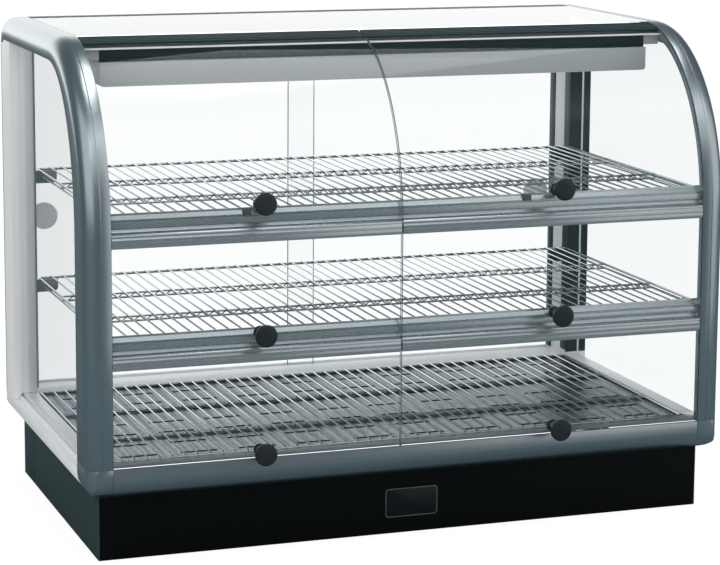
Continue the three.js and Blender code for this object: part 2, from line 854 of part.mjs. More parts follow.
// Knob on a stud through the glass, held by a nut behind it
function knobProfile() {
  const discBack = knobLength - knobDisc;
  const back = -glass - restGap;
  return [[0, back - knobNutLength], [knobNut / 2, back - knobNutLength], [knobNut / 2, back],
    [knobStud / 2, back], [knobStud / 2, restGap], [knobShank / 2, restGap],
    [knobShank / 2, discBack], [knobDiameter / 2 - knobRound, discBack],
    [knobDiameter / 2, discBack + knobRound], [knobDiameter / 2, knobLength - knobRound],
    [knobDiameter / 2 - knobRound, knobLength], [0, knobLength]];
}

// Pane with the knob's hole, and the knob, at a height on the pane and leaning with it
function addPaneAndKnob(group, label, span, section, knobY, knobZ, lean) {
  const local = section.map(([y, z]) => [y - group.position.y, z - group.position.z]);
  const place = (geometry) => geometry.rotateX(Math.PI - lean).translate(
    (span[0] + span[1]) / 2, knobY - group.position.y, knobZ - group.position.z);
  const hole = place(cylinderAlongY(knobHole, 2 * (glass + overrun)));
  const pane = cut(alongX(local, ...span), [hole]);
  group.add(part(`flap_glass_${label}`, pane, glassFinish()));
  group.add(part(`flap_knob_${label}`, place(turned(knobProfile())), knobBlack()));
}

function flapSpan(side) {
  const seam = flapSeamX + side * (flapSeamGap / 2);
  return side < 0 ? [-flapHalf, seam] : [seam, flapHalf];
}

// Socket outline about the hinge line, from its lower tip round inside to its front
function socketPoints() {
  return [
    ...arc(0, 0, socketInner, socketFrom, socketTo - fullTurn, 2 * roundSteps),
    ...arc(0, 0, socketOuter, socketTo, 180),
  ];
}

// Curved upper flap: its profile butts the top edge of the pane, with a lip below it
function upperFlap(side, hand) {
  const span = flapSpan(side);
  const inner = flapInset + glass;
  const bottom = upperShelfZ + shelfStep;
  const section = [[inner, bottom],
    ...curveLine(inner, inner, flapTopEdge).filter(([, z]) => z > bottom),
    ...curveLine(flapInset, flapInset, flapTopEdge).filter(([, z]) => z > bottom).reverse(),
    [flapInset, bottom]];
  const group = new THREE.Group();
  group.position.set(0, topHingeY, topHingeZ);
  const lipFront = flapTopEdge - topHingeLip;
  const lipBack = topHingeY - socketOuter;
  const lip = (depth, y) => [y - topHingeY, curveHeight(depth, y) - topHingeZ];
  const lipLow = inner + restGap + sheet;
  const stripTurn = THREE.MathUtils.radToDeg(Math.asin(topHingeStripBack / socketOuter));
  const profile = [
    [-socketOuter, -topHingeStripHeight], [-topHingeStripBack, -topHingeStripHeight],
    ...arc(0, 0, socketOuter, 270 - stripTurn, fullTurn + socketFrom), ...socketPoints(),
    lip(inner + restGap, lipBack), lip(inner + restGap, lipFront),
    lip(lipLow, lipFront), lip(lipLow, lipBack),
  ];
  group.add(part(`flap_hinge_upper_${hand}`, alongX(profile, ...span), frameGrey()));
  const knobZ = upperShelfZ + upperKnobRise;
  const height = knobZ - curveFoot;
  const reach = curveRise - flapInset;
  const shrink = Math.sqrt(1 - (height / reach) ** 2);
  const knobY = curveDepth - (curveDepth - flapInset) * shrink;
  const lean = Math.atan2((curveDepth - flapInset) * height, reach ** 2 * shrink);
  addPaneAndKnob(group, `upper_${hand}`, span, section, knobY, knobZ, lean);
  return group;
}

// Flat flap: its pane hangs in a gripping profile that turns on the shelf rail's bead
function flatFlap(side, hand, tier, shelfZ, bottom, knobZ) {
  const span = flapSpan(side);
  const group = new THREE.Group();
  group.position.set(0, hingeY, shelfZ + hingeRise);
  const slotFront = flapInset - restGap - hingeY;
  const slotBack = flapInset + glass + restGap - hingeY;
  const back = hingeBack - hingeY;
  const profile = [
    [-socketOuter, -hingeRise], [slotFront, -hingeRise], [slotFront, hingeGrip - hingeRise],
    [slotBack, hingeGrip - hingeRise], [slotBack, -hingeRise], [back, -hingeRise],
    [back, -hingeShoulder], polar(0, 0, socketOuter, socketFrom), ...socketPoints(),
  ];
  group.add(part(`flap_hinge_${tier}_${hand}`, alongX(profile, ...span), satinAluminium()));
  const section = rectangle(
    flapInset, flapInset + glass, bottom, shelfZ + hingeGrip - restGap);
  addPaneAndKnob(group, `${tier}_${hand}`, span, section, flapInset, knobZ, 0);
  return group;
}

function flaps() {
  return [[-1, 'left'], [1, 'right']].flatMap(([side, hand]) => [
    upperFlap(side, hand),
    flatFlap(side, hand, 'middle', upperShelfZ, lowerShelfZ + shelfStep,
      lowerShelfZ + middleKnobRise),
    flatFlap(side, hand, 'lower', lowerShelfZ, railTop + flapRestGap, railTop + lowerKnobRise),
  ]);
}

// Rear doors, each with a nearly flush finger pull gripped in its pane

function fingerPull(name) {
  const half = pullDiameter / 2;
  const body = pullHole / 2 - restGap;
  const low = -pullFlange - restGap;
  const high = doorGlass + pullFlange + restGap;
  const profile = [[0, low], [half, low], [half, -restGap], [body, -restGap],
    [body, doorGlass + restGap], [half, doorGlass + restGap], [half, high], [pullCup / 2, high],
    [pullCup / 2, low + pullFloor], [0, low + pullFloor]];
  return part(name, turned(profile), knobBlack());
}

function rearDoor(side, hand, track) {
  const edge = innerHalf - doorEndGap;
  const x0 = side < 0 ? -edge : -rightDoorReach;
  const x1 = side < 0 ? leftDoorReach : edge;
  const z0 = railTop - doorBottomGroove + restGap;
  const z1 = rearTopRailBottom + doorTopEngage;
  const group = new THREE.Group();
  group.position.set(side * (edge - pullInset), doorTrack + track * doorTrackPitch, pullZ);
  const pane = rectangle(x0 - group.position.x, x1 - group.position.x, z0 - pullZ, z1 - pullZ);
  const hole = arc(0, 0, pullHole / 2, 0, fullTurn, turnSteps).slice(1);
  group.add(part(`door_glass_${hand}`, alongY(pane, 0, doorGlass, [hole]), glassFinish()));
  group.add(fingerPull(`door_pull_${hand}`));
  return group;
}

// Controls, heater and cable entry

function thermostatBody() {
  const back = plinthRear - sheet - restGap;
  const body = block(dialX - thermostatWidth / 2, dialX + thermostatWidth / 2,
    back - thermostatDepth, back,
    controlZ - thermostatHeight / 2, controlZ + thermostatHeight / 2);
  return part('thermostat_body', body, finish(0xd8d4c8, 0.6, 0));
}

// Dial with its stem through the cover
function thermostatDial() {
  const profile = [[0, -sheet], [dialStem / 2, -sheet], [dialStem / 2, runGap],
    [dialDiameter / 2, runGap], [dialDiameter / 2, dialSkirt], [dialGrip / 2, dialSkirt],
    [dialGrip / 2, dialHeight - knobRound], [dialGrip / 2 - knobRound, dialHeight],
    [0, dialHeight]];
  const dial = part('thermostat_dial', turned(profile), knobBlack());
  dial.position.set(dialX, plinthRear, controlZ);
  return dial;
}

// Switch body: a bezel outside and an open box through the cover
function switchHousing() {
  const w = switchWidth / 2;
  const h = switchHeight / 2;
  const bezel = block(-w - switchBezel, w + switchBezel, restGap, switchBezelThickness,
    -h - switchBezel, h + switchBezel);
  const body = block(-w, w, -switchDepth, switchBezelThickness / 2, -h, h);
  const well = block(-w + switchWall, w - switchWall, switchWall - switchDepth, overrun,
    switchWall - h, h - switchWall);
  const housing = cut(join([bezel, body]), [well]).translate(switchX, plinthRear, controlZ);
  return part('switch_housing', housing, knobBlack());
}

// Rocker with a rounded face, tipping about its own middle
function switchRocker() {
  const half = switchHeight / 2 - switchWall - rockerGap;
  const width = switchWidth / 2 - switchWall - rockerGap;
  const lean = THREE.MathUtils.radToDeg(Math.asin(half / rockerRadius));
  const section = [...arc(rockerRise - rockerRadius, 0, rockerRadius, -lean, lean),
    [-rockerDepth, rockerFoot], [-rockerDepth, -rockerFoot]];
  const rocker = part('switch_rocker', alongX(section, -width, width), finish(0xa8201a, 0.35, 0));
  rocker.position.set(switchX, plinthRear, controlZ);
  rocker.rotation.x = -THREE.MathUtils.degToRad(rockerTilt);
  return rocker;
}

function cableGland() {
  const inside = -sheet - glandInside;
  const front = glandNutLength + glandDomeLength;
  const profile = [[glandBore / 2, inside], [glandThread / 2, inside],
    [glandThread / 2, restGap], [glandNut / 2, restGap], [glandNut / 2, glandNutLength],
    [glandDome / 2, glandNutLength], [glandNose / 2, front], [glandBore / 2, front],
    [glandBore / 2, inside]];
  const gland = turned(profile).translate(glandX, plinthRear, glandZ);
  return part('cable_gland', gland, knobBlack());
}

// Sheathed element in long runs just under the floor plate
function heatingElement() {
  const half = heaterSpan / 2;
  const z = floorBottom - restGap - heaterTube / 2;
  const points = [];
  for (let run = 0; run < heaterRuns; run += 1) {
    const side = run % 2 === 0 ? 1 : -1;
    const y = heaterFront + run * heaterPitch;
    points.push([-side * half, y], [0, y], [side * half, y]);
    if (run + 1 < heaterRuns) {
      const bend = arc(0, y + heaterPitch / 2, heaterPitch / 2, -90, 90).slice(1, -1);
      points.push(...bend.map(([x, by]) => [side * (half + x), by]));
    }
  }
  const path = new THREE.CatmullRomCurve3(
    points.map(([x, y]) => new THREE.Vector3(x, y, z)), false, 'centripetal');
  const ring = outline(arc(0, 0, heaterTube / 2, 0, fullTurn, heaterSides).slice(1));
  const tube = new THREE.ExtrudeGeometry(ring, {
    steps: heaterSteps, extrudePath: path, bevelEnabled: false });
  return part('heating_element', tube, stainless());
}

// The whole case, set so that its box stands centred over the origin
const displayCase = new THREE.Group();
displayCase.add(
  basePan(),
  plinthFrontPanel(),
  plinthRearCover(),
  frontRail(),
  rearRail(),
  frontTopRail(),
  rearTopRail(),
  topGlass(),
  shelfRail(upperShelfZ, 'shelf_rail_upper'),
  shelfRail(lowerShelfZ, 'shelf_rail_lower'),
  shelfRack(upperShelfZ, 'rack_upper'),
  shelfRack(lowerShelfZ, 'rack_middle'),
  part('rack_lower', rackGrid(lowerRackFront, floorTop + restGap), chrome()),
  floorPlate(),
  lampHousing(),
  lampTube(),
  ...flaps(),
  rearDoor(-1, 'left', 0),
  rearDoor(1, 'right', 1),
  thermostatBody(),
  thermostatDial(),
  switchHousing(),
  switchRocker(),
  cableGland(),
  heatingElement(),
);
for (const [side, hand] of [[-1, 'left'], [1, 'right']]) {
  displayCase.add(
    plinthSidePanel(side, hand),
    sideRail(side, hand),
    frontCorner(side, hand),
    endFrame(side, hand),
    endGlass(side, hand),
    rearPost(side, hand),
    rearJamb(side, hand),
    shelfSupport(side, hand),
  );
}

const knobFront = flapInset - knobLength;
displayCase.position.y = -(knobFront + caseDepth) / 2;

const group = new THREE.Group();
group.add(displayCase);

export default group;
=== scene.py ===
import math

import bmesh
import bpy
from mathutils import Matrix, Vector


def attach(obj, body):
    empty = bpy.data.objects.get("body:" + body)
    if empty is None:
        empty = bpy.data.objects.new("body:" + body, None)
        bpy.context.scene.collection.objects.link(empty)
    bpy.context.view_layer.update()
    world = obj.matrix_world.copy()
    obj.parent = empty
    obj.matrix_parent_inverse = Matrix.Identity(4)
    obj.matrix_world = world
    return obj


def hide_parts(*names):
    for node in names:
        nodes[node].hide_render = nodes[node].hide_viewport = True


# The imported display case
# Sixty plain solids in their places, with the bodies that move. The sections below give
# each one its finish, or put a closer likeness in its place.
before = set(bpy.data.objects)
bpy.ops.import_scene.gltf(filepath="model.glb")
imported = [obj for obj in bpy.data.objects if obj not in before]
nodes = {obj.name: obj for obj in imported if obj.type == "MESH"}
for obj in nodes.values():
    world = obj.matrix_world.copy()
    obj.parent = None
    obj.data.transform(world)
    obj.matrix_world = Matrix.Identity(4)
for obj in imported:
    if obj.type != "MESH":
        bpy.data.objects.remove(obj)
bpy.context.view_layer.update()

# Camera
# It stands left of the case and a little above it, as the photograph's did. Its picture is
# shifted, so that the case's uprights stay as straight as they are there.
FRONT_PLANE = 274.5
CAMERA_SPOT = (-1277.8, -3349.7, 1081.3)
CAMERA_TURN, CAMERA_DIP, CAMERA_ROLL = 19.483, 9.316, 0.373
FOCAL_LENGTH, SENSOR_WIDTH, LENS_SHIFT = 124.65, 36, -0.1
CAMERA_REACH = 60


def place(x, y, z):
    """Metres of the shared frame, from millimetres and a depth behind the flat front."""
    return Vector((x, y - FRONT_PLANE, z)) / 1000


camera_data = bpy.data.cameras.new("camera")
camera_data.lens = FOCAL_LENGTH
camera_data.sensor_width = SENSOR_WIDTH
camera_data.shift_y = LENS_SHIFT
camera_data.clip_end = CAMERA_REACH
camera = bpy.data.objects.new("camera", camera_data)
bpy.context.scene.collection.objects.link(camera)
turn, dip, roll = (math.radians(angle) for angle in (CAMERA_TURN, CAMERA_DIP, CAMERA_ROLL))
ahead = Vector((math.sin(turn) * math.cos(dip), math.cos(turn) * math.cos(dip), -math.sin(dip)))
level = Vector((math.cos(turn), -math.sin(turn), 0))
upright = level.cross(ahead)
right_hand = level * math.cos(roll) + upright * math.sin(roll)
overhead = upright * math.cos(roll) - level * math.sin(roll)
axes = Matrix((right_hand, overhead, -ahead)).transposed().to_4x4()
camera.matrix_world = Matrix.Translation(place(*CAMERA_SPOT)) @ axes
bpy.context.scene.camera = camera

# Studio
# A pale floor, and for the metal to mirror a white wall behind, a dimmer one at the right
# and a dark room. Soft boxes at the left, overhead and high in front light it plainly.
ROOM_DARK, WALL_WHITE = "54656b", (1.5, 1.5, 1.5, 1)
FLOOR_PALE, FLOOR_DARK = (0.9, 0.9, 0.9, 1), "5f7076"
WHITE = (1, 1, 1, 1)
ROOM_LIGHT, FLOOR_GLOW, GLOW_SHARE = 0.76, 1.12, 0.8
FLOOR_NEAR, FLOOR_FAR = -1.3, 9
# Direction of the wall, cosines where it begins and where it is full, brightness
BACK_WALL = ((0, 0.944, -0.33), 0.62, 0.82, 1.0)
RIGHT_WALL = ((0.87, -0.5, 0), 0.76, 0.9, 0.44)
# Name, place and aim in metres, width and depth in metres, watts
SOFT_BOXES = (
    ("soft_box_left", (-2.7, -1.9, 1.9), (0, 0, 0.35), 3.4, 3.0, 20),
    ("soft_box_over", (0.3, -0.2, 2.9), (0, 0, 0.4), 1.6, 1.0, 14),
    ("soft_box_front", (0.5, -2.3, 2.5), (0, 0, 0.4), 4.4, 1.8, 12),
    ("strip_light", (0.5, -2.0, 2.5), (0, 0, 0.4), 4.4, 0.4, 5),
)
bpy.context.scene.view_settings.view_transform = "Standard"


def linear(colour):
    """Colour written as on screen, such as 5b676c, as the shader wants it."""
    parts = [int(colour[i:i + 2], 16) / 255 for i in (0, 2, 4)]
    return tuple(c / 12.92 if c <= 0.04045 else ((c + 0.055) / 1.055) ** 2.4 for c in parts) + (1,)


def feed(tree, socket, value):
    """Links a socket to another one, or sets it to a plain value."""
    if isinstance(value, bpy.types.NodeSocket):
        tree.links.new(value, socket)
    else:
        socket.default_value = value


def add_node(tree, kind, **inputs):
    """A new node with its inputs fed by name."""
    node = tree.nodes.new(kind)
    for name, value in inputs.items():
        feed(tree, node.inputs[name.replace("_", " ")], value)
    return node


def calculate(tree, operation, *terms, clamp=False):
    """The result of a sum on values or sockets."""
    node = tree.nodes.new("ShaderNodeMath")
    node.operation = operation
    node.use_clamp = clamp
    for socket, term in zip(node.inputs, terms):
        feed(tree, socket, term)
    return node.outputs[0]


def blend(tree, share, first, second):
    """The colour between two others, at a share of the second."""
    node = tree.nodes.new("ShaderNodeMix")
    node.data_type = "RGBA"
    feed(tree, node.inputs["Factor"], share)
    feed(tree, node.inputs["A"], first)
    feed(tree, node.inputs["B"], second)
    return node.outputs["Result"]


def layered(tree, share, first, second):
    """The shader between two others, at a share of the second."""
    node = tree.nodes.new("ShaderNodeMixShader")
    for socket, value in zip(node.inputs, (share, first.outputs[0], second.outputs[0])):
        tree.links.new(value, socket)
    return node


def only_mirrored(tree, rays):
    """1 for what is seen in a mirror and not through glass, else 0."""
    return calculate(tree, "SUBTRACT", rays.outputs["Is Glossy Ray"],
                     rays.outputs["Is Transmission Ray"], clamp=True)


def seen_directly(tree, rays):
    """1 for what the camera sees, also through glass, else 0."""
    return calculate(tree, "MAXIMUM", rays.outputs["Is Camera Ray"],
                     rays.outputs["Is Transmission Ray"])


def wall(tree, direction, toward, begins, full, brightness):
    """How much of a bright wall is seen in a direction: 0 off its edge, brightness on it."""
    facing = tree.nodes.new("ShaderNodeVectorMath")
    facing.operation = "DOT_PRODUCT"
    feed(tree, facing.inputs[0], direction)
    feed(tree, facing.inputs[1], toward)
    seen = add_node(tree, "ShaderNodeMapRange", Value=facing.outputs["Value"],
                    From_Min=begins, From_Max=full, To_Max=brightness)
    seen.interpolation_type = "SMOOTHSTEP"
    return seen.outputs["Result"]


world = bpy.data.worlds.new("studio")
bpy.context.scene.world = world
world.use_nodes = True
tree = world.node_tree
tree.nodes.clear()
rays = add_node(tree, "ShaderNodeLightPath")
direction = add_node(tree, "ShaderNodeTexCoord").outputs["Generated"]
walls = calculate(tree, "MAXIMUM", wall(tree, direction, *BACK_WALL),
                  wall(tree, direction, *RIGHT_WALL))
shade = blend(tree, walls, linear(ROOM_DARK), WALL_WHITE)
room = add_node(tree, "ShaderNodeBackground", Color=shade, Strength=1.0)
white = add_node(tree, "ShaderNodeBackground", Color=WHITE, Strength=1.0)
soft = add_node(tree, "ShaderNodeBackground", Color=WHITE, Strength=ROOM_LIGHT)
mirrored = layered(tree, rays.outputs["Is Glossy Ray"], soft, room)
backdrop = layered(tree, seen_directly(tree, rays), mirrored, white)
add_node(tree, "ShaderNodeOutputWorld", Surface=backdrop.outputs[0])

floor_mesh = bpy.data.meshes.new("floor")
floor_mesh.from_pydata([(-FLOOR_FAR, FLOOR_NEAR, 0), (FLOOR_FAR, FLOOR_NEAR, 0),
                        (FLOOR_FAR, FLOOR_FAR, 0), (-FLOOR_FAR, FLOOR_FAR, 0)],
                       [], [(0, 1, 2, 3)])
floor = bpy.data.objects.new("floor", floor_mesh)
bpy.context.scene.collection.objects.link(floor)
floor_paint = bpy.data.materials.new("floor_paint")
floor_paint.use_nodes = True
tree = floor_paint.node_tree
tree.nodes.clear()
rays = add_node(tree, "ShaderNodeLightPath")
tone = blend(tree, only_mirrored(tree, rays), FLOOR_PALE, linear(FLOOR_DARK))
matt = add_node(tree, "ShaderNodeBsdfDiffuse", Color=tone)
glow = add_node(tree, "ShaderNodeEmission", Color=WHITE, Strength=FLOOR_GLOW)
part_white = calculate(tree, "MULTIPLY", seen_directly(tree, rays), GLOW_SHARE)
shown = layered(tree, part_white, matt, glow)
add_node(tree, "ShaderNodeOutputMaterial", Surface=shown.outputs[0])
floor_mesh.materials.append(floor_paint)

for name, spot, aim, width, depth, watts in SOFT_BOXES:
    data = bpy.data.lights.new(name, "AREA")
    data.shape = "RECTANGLE"
    data.size = width
    data.size_y = depth
    data.energy = watts
    lamp = bpy.data.objects.new(name, data)
    bpy.context.scene.collection.objects.link(lamp)
    lamp.location = spot
    lamp.rotation_euler = (Vector(aim) - Vector(spot)).to_track_quat("-Z", "Y").to_euler()

# Base pan
# The case stands on this pan of thin stainless steel, folded up along the front and back.
# Its brushed grain runs along the sheet.
FINE_GRAIN, SLOW_TONE = {"Scale": 4.0, "Detail": 5.0}, {"Scale": 7.0, "Detail": 2.0}
GRAIN_LOW, GRAIN_HIGH, GRAIN_HEIGHT = 0.32, 0.68, 0.0004
WELD_WITHIN, SMOOTH_BELOW, EASE_ABOVE = 0.000005, 24, 50


def surface(name, colour, rough, grain, tone, bump, metal=0.0, specular=0.5):
    """A finish whose grain breaks up its gloss and whose tone wanders slowly over it."""
    material = bpy.data.materials.new(name)
    material.use_nodes = True
    tree = material.node_tree
    shader = tree.nodes["Principled BSDF"]
    spot = add_node(tree, "ShaderNodeTexCoord").outputs["Object"]
    stretched = add_node(tree, "ShaderNodeMapping", Vector=spot, Scale=grain)
    fine = add_node(tree, "ShaderNodeTexNoise", Vector=stretched.outputs[0], **FINE_GRAIN)
    wide = add_node(tree, "ShaderNodeTexNoise", Vector=spot, **SLOW_TONE)
    gloss = add_node(tree, "ShaderNodeMapRange", Value=fine.outputs["Fac"],
                     From_Min=GRAIN_LOW, From_Max=GRAIN_HIGH, To_Min=rough[0], To_Max=rough[1])
    # Both noises count alike, and seldom leave the middle half of their range
    both = calculate(tree, "MULTIPLY_ADD", fine.outputs["Fac"], 0.5,
                     calculate(tree, "MULTIPLY", wide.outputs["Fac"], 0.5))
    base = linear(colour)[:3]
    darker = tuple(c * (1 - 2 * tone) for c in base) + (1,)
    lighter = tuple(min(c * (1 + 2 * tone), 1) for c in base) + (1,)
    relief = add_node(tree, "ShaderNodeBump", Height=fine.outputs["Fac"],
                      Strength=bump, Distance=GRAIN_HEIGHT)
    feed(tree, shader.inputs["Base Color"], blend(tree, both, darker, lighter))
    feed(tree, shader.inputs["Metallic"], metal)
    feed(tree, shader.inputs["Roughness"], gloss.outputs["Result"])
    feed(tree, shader.inputs["Specular IOR Level"], specular)
    feed(tree, shader.inputs["Normal"], relief.outputs["Normal"])
    return material


def edge_tree(name):
    """Node tree with the geometry passing through, and its first and last node."""
    tree = bpy.data.node_groups.new(name, "GeometryNodeTree")
    tree.interface.new_socket("Geometry", in_out="INPUT", socket_type="NodeSocketGeometry")
    tree.interface.new_socket("Geometry", in_out="OUTPUT", socket_type="NodeSocketGeometry")
    return tree, tree.nodes.new("NodeGroupInput"), tree.nodes.new("NodeGroupOutput")


welded, start, end = edge_tree("joined_faces")
weld = add_node(welded, "GeometryNodeMergeByDistance", Geometry=start.outputs[0],
                Distance=WELD_WITHIN)
plain = add_node(welded, "GeometryNodeRemoveAttribute", Geometry=weld.outputs[0],
                 Name="custom_normal")
welded.links.new(plain.outputs[0], end.inputs[0])

rounded, start, end = edge_tree("smooth_rounds")
corner = rounded.nodes.new("GeometryNodeInputMeshEdgeAngle")
sharp = rounded.nodes.new("FunctionNodeCompare")
sharp.operation = "GREATER_THAN"
feed(rounded, sharp.inputs[0], corner.outputs["Unsigned Angle"])
feed(rounded, sharp.inputs[1], math.radians(SMOOTH_BELOW))
smooth = add_node(rounded, "GeometryNodeSetShadeSmooth", Geometry=start.outputs[0])
kept = add_node(rounded, "GeometryNodeSetShadeSmooth", Geometry=smooth.outputs[0],
                Selection=sharp.outputs[0], Shade_Smooth=False)
kept.domain = "EDGE"
rounded.links.new(kept.outputs[0], end.inputs[0])


def ease_edges(piece, edge):
    """A small round on every corner edge, and smooth rounds."""
    if edge:
        bevel = piece.modifiers.new("eased_edges", "BEVEL")
        bevel.width = edge / 1000
        bevel.segments = 2
        bevel.limit_method = "ANGLE"
        bevel.angle_limit = math.radians(EASE_ABOVE)
    piece.modifiers.new("smooth_rounds", "NODES").node_group = rounded


def dress(node, material, edge):
    """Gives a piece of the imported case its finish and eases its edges."""
    piece = nodes[node]
    if piece.material_slots:
        piece.material_slots[0].material = material
    else:
        piece.data.materials.append(material)
    piece.modifiers.new("joined_faces", "NODES").node_group = welded
    ease_edges(piece, edge)


stainless = surface("stainless", "b6b9bb", rough=(0.24, 0.42), grain=(3, 260, 260),
                    tone=0.05, bump=0.04, metal=1.0)
dress("base_pan", stainless, edge=0)

# Plinth panels
# Four folded steel panels, painted: a black one in front, dark grey ones at the sides and
# one round the back. The paint has a faint orange peel.
panel_black = surface("panel_black", "040504", rough=(0.3, 0.42), grain=(420, 420, 420),
                      tone=0.1, bump=0.03, specular=0.22)
plinth_grey = surface("plinth_grey", "2c3f41", rough=(0.4, 0.55), grain=(420, 420, 420),
                      tone=0.06, bump=0.04, metal=0.15, specular=0.35)
dress("plinth_front", panel_black, edge=0.3)
for part in ("plinth_side_left", "plinth_side_right", "plinth_rear"):
    dress(part, plinth_grey, edge=0.3)

# Name plate, left bare
# A thin pressed plate with rounded corners, stuck to the middle of the front panel. A
# lighter rim runs round its dark face.
PLATE_LEFT, PLATE_RIGHT, PLATE_FOOT, PLATE_HEAD = -38, 45, 25, 69
PLATE_ROUND, RIM_WIDTH, RIM_ROUND = 5, 1.4, 3.8
PLATE_BACK, RIM_BACK, PLATE_FACE, RIM_FACE = 33.5, 32.6, 32.4, 32.0


def piece_of(name, corners, faces, materials, body, edge):
    """A closed piece from its corners in millimetres, riding on a body of the case."""
    mesh = bpy.data.meshes.new(name)
    mesh.from_pydata([place(*corner) for corner in corners], [], faces)
    for material in materials:
        mesh.materials.append(material)
    shape = bmesh.new()
    shape.from_mesh(mesh)
    bmesh.ops.recalc_face_normals(shape, faces=shape.faces)
    shape.to_mesh(mesh)
    shape.free()
    piece = bpy.data.objects.new(name, mesh)
    bpy.context.scene.collection.objects.link(piece)
    ease_edges(piece, edge)
    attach(piece, body)
    return piece


def prism(name, outlines, materials, body, edge, cap=0):
    """Joins two or more like outlines into one closed piece; cap is its ends' finish."""
    size = len(outlines[0])
    corners = [corner for outline in outlines for corner in outline]
    faces = [tuple(reversed(range(size))), tuple(range(len(corners) - size, len(corners)))]
    for number in range(len(outlines) - 1):
        for i in range(size):
            a, b = number * size + i, number * size + (i + 1) % size
            faces.append((a, b, b + size, a + size))
    piece = piece_of(name, corners, faces, materials, body, edge)
    for polygon in list(piece.data.polygons)[:2]:
        polygon.material_index = cap
    return piece


def arc(a, b, radius, start, stop, steps):
    """Points on a round about (a, b), between two angles in degrees."""
    angles = [math.radians(start + (stop - start) * i / steps) for i in range(steps + 1)]
    return [(a + radius * math.cos(t), b + radius * math.sin(t)) for t in angles]


def rounded_box(x0, x1, z0, z1, radius, steps=6):
    """The outline of a rectangle with round corners."""
    return (arc(x1 - radius, z1 - radius, radius, 0, 90, steps)
            + arc(x0 + radius, z1 - radius, radius, 90, 180, steps)
            + arc(x0 + radius, z0 + radius, radius, 180, 270, steps)
            + arc(x1 - radius, z0 + radius, radius, 270, 360, steps))


plate_black = surface("plate_black", "0b0c0d", rough=(0.22, 0.34), grain=(300, 300, 300),
                      tone=0.1, bump=0.01, specular=0.4)
plate_rim = surface("plate_rim", "7f878a", rough=(0.25, 0.38), grain=(300, 300, 300),
                    tone=0.05, bump=0.01, metal=0.8)
outside = rounded_box(PLATE_LEFT, PLATE_RIGHT, PLATE_FOOT, PLATE_HEAD, PLATE_ROUND)
plate = prism("bare_plate", [[(x, y, z) for x, z in outside] for y in (PLATE_BACK, PLATE_FACE)],
              [plate_black], "case", edge=0.2)
inside = rounded_box(PLATE_LEFT + RIM_WIDTH, PLATE_RIGHT - RIM_WIDTH,
                     PLATE_FOOT + RIM_WIDTH, PLATE_HEAD - RIM_WIDTH, RIM_ROUND)
rim_section = ((outside, RIM_BACK), (outside, RIM_FACE), (inside, RIM_FACE), (inside, RIM_BACK))
rim_corners = [(x, y, z) for outline, y in rim_section for x, z in outline]
count = len(outside)
rim_faces = []
for number in range(len(rim_section)):
    near, far = number * count, (number + 1) % len(rim_section) * count
    for i in range(count):
        step = (i + 1) % count
        rim_faces.append((near + i, near + step, far + step, far + i))
rim = piece_of("plate_rim", rim_corners, rim_faces, [plate_rim], "case", edge=0.15)

# Deck rails
# Extruded aluminium rails round the floor of the case. The front one is rounded below and
# brighter along its flat band; its top is painted dark, as painted shade. The side and rear ones are
# pale satin.
RAIL_HALF = 460.7
RAIL_FOOT, RAIL_TOP, RAIL_BACK, RAIL_ROUND = 96, 142.4, 45, 31
SQUARE_ON = 0.999


def bar(name, section, x0, x1, materials, body, edge, cap=0):
    """A profile drawn in Y and Z, cut to length along the case."""
    return prism(name, [[(x, y, z) for y, z in section] for x in (x0, x1)],
                 materials, body, edge, cap)


frame_grey = surface("frame_grey", "c0c8cb", rough=(0.27, 0.34), grain=(180, 180, 180),
                     tone=0.012, bump=0.01, metal=1.0)
band_grey = surface("band_grey", "c4c8cb", rough=(0.3, 0.4), grain=(4, 240, 240),
                    tone=0.02, bump=0.02, metal=1.0)
top_shade_grey = surface("top_shade_grey", "4a575b", rough=(0.4, 0.5), grain=(4, 240, 240),
                   tone=0.03, bump=0.02, metal=0.3)
pale_aluminium = surface("pale_aluminium", "eff0f1", rough=(0.34, 0.44), grain=(4, 240, 240),
                         tone=0.015, bump=0.02, metal=0.15)
rail_section = [(RAIL_BACK, RAIL_FOOT), (RAIL_BACK, RAIL_TOP), (0, RAIL_TOP)]
rail_section += arc(RAIL_ROUND, RAIL_FOOT + RAIL_ROUND, RAIL_ROUND, 180, 270, 20)
front_bar = bar("front_deck_rail", rail_section, -RAIL_HALF, RAIL_HALF,
                [frame_grey, band_grey, top_shade_grey], "case", edge=0.2)
for polygon in front_bar.data.polygons:
    if polygon.normal.y < -SQUARE_ON:
        polygon.material_index = 1
    # Faces looking straight up take the dark top colour: painted shade.
    if polygon.normal.z > SQUARE_ON:
        polygon.material_index = 2
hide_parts("front_rail")
for part in ("side_rail_left", "side_rail_right", "rear_rail"):
    dress(part, pale_aluminium, edge=0.5)

# End frames
# Each end is one bent aluminium profile: a broad web to the front and top with a fine
# groove along it, and a deeper flange on the outside. It stands on a cast corner.
CASE_HALF, WEB_INSIDE, CASE_DEPTH, CASE_TOP = 500, 461, 585, 742
BEND_DEPTH, BEND_RISE, REAR_BEND = 220, 272, 40
BEND_FOOT = CASE_TOP - BEND_RISE
BEND_STEPS, REAR_BEND_STEPS = 72, 16
FRAME_FOOT, STRAIGHT_LOW, STRAIGHT_HIGH = 142.7, BEND_FOOT - 140, BEND_FOOT - 2
FRAME_ROUND, GROOVE = 23, 0.8
FLANGE_INSIDE, FLANGE_DEEP, FLANGE_LOW = 488, 60, 35
WEB_DEEP, WEB_LOW = 15, 16


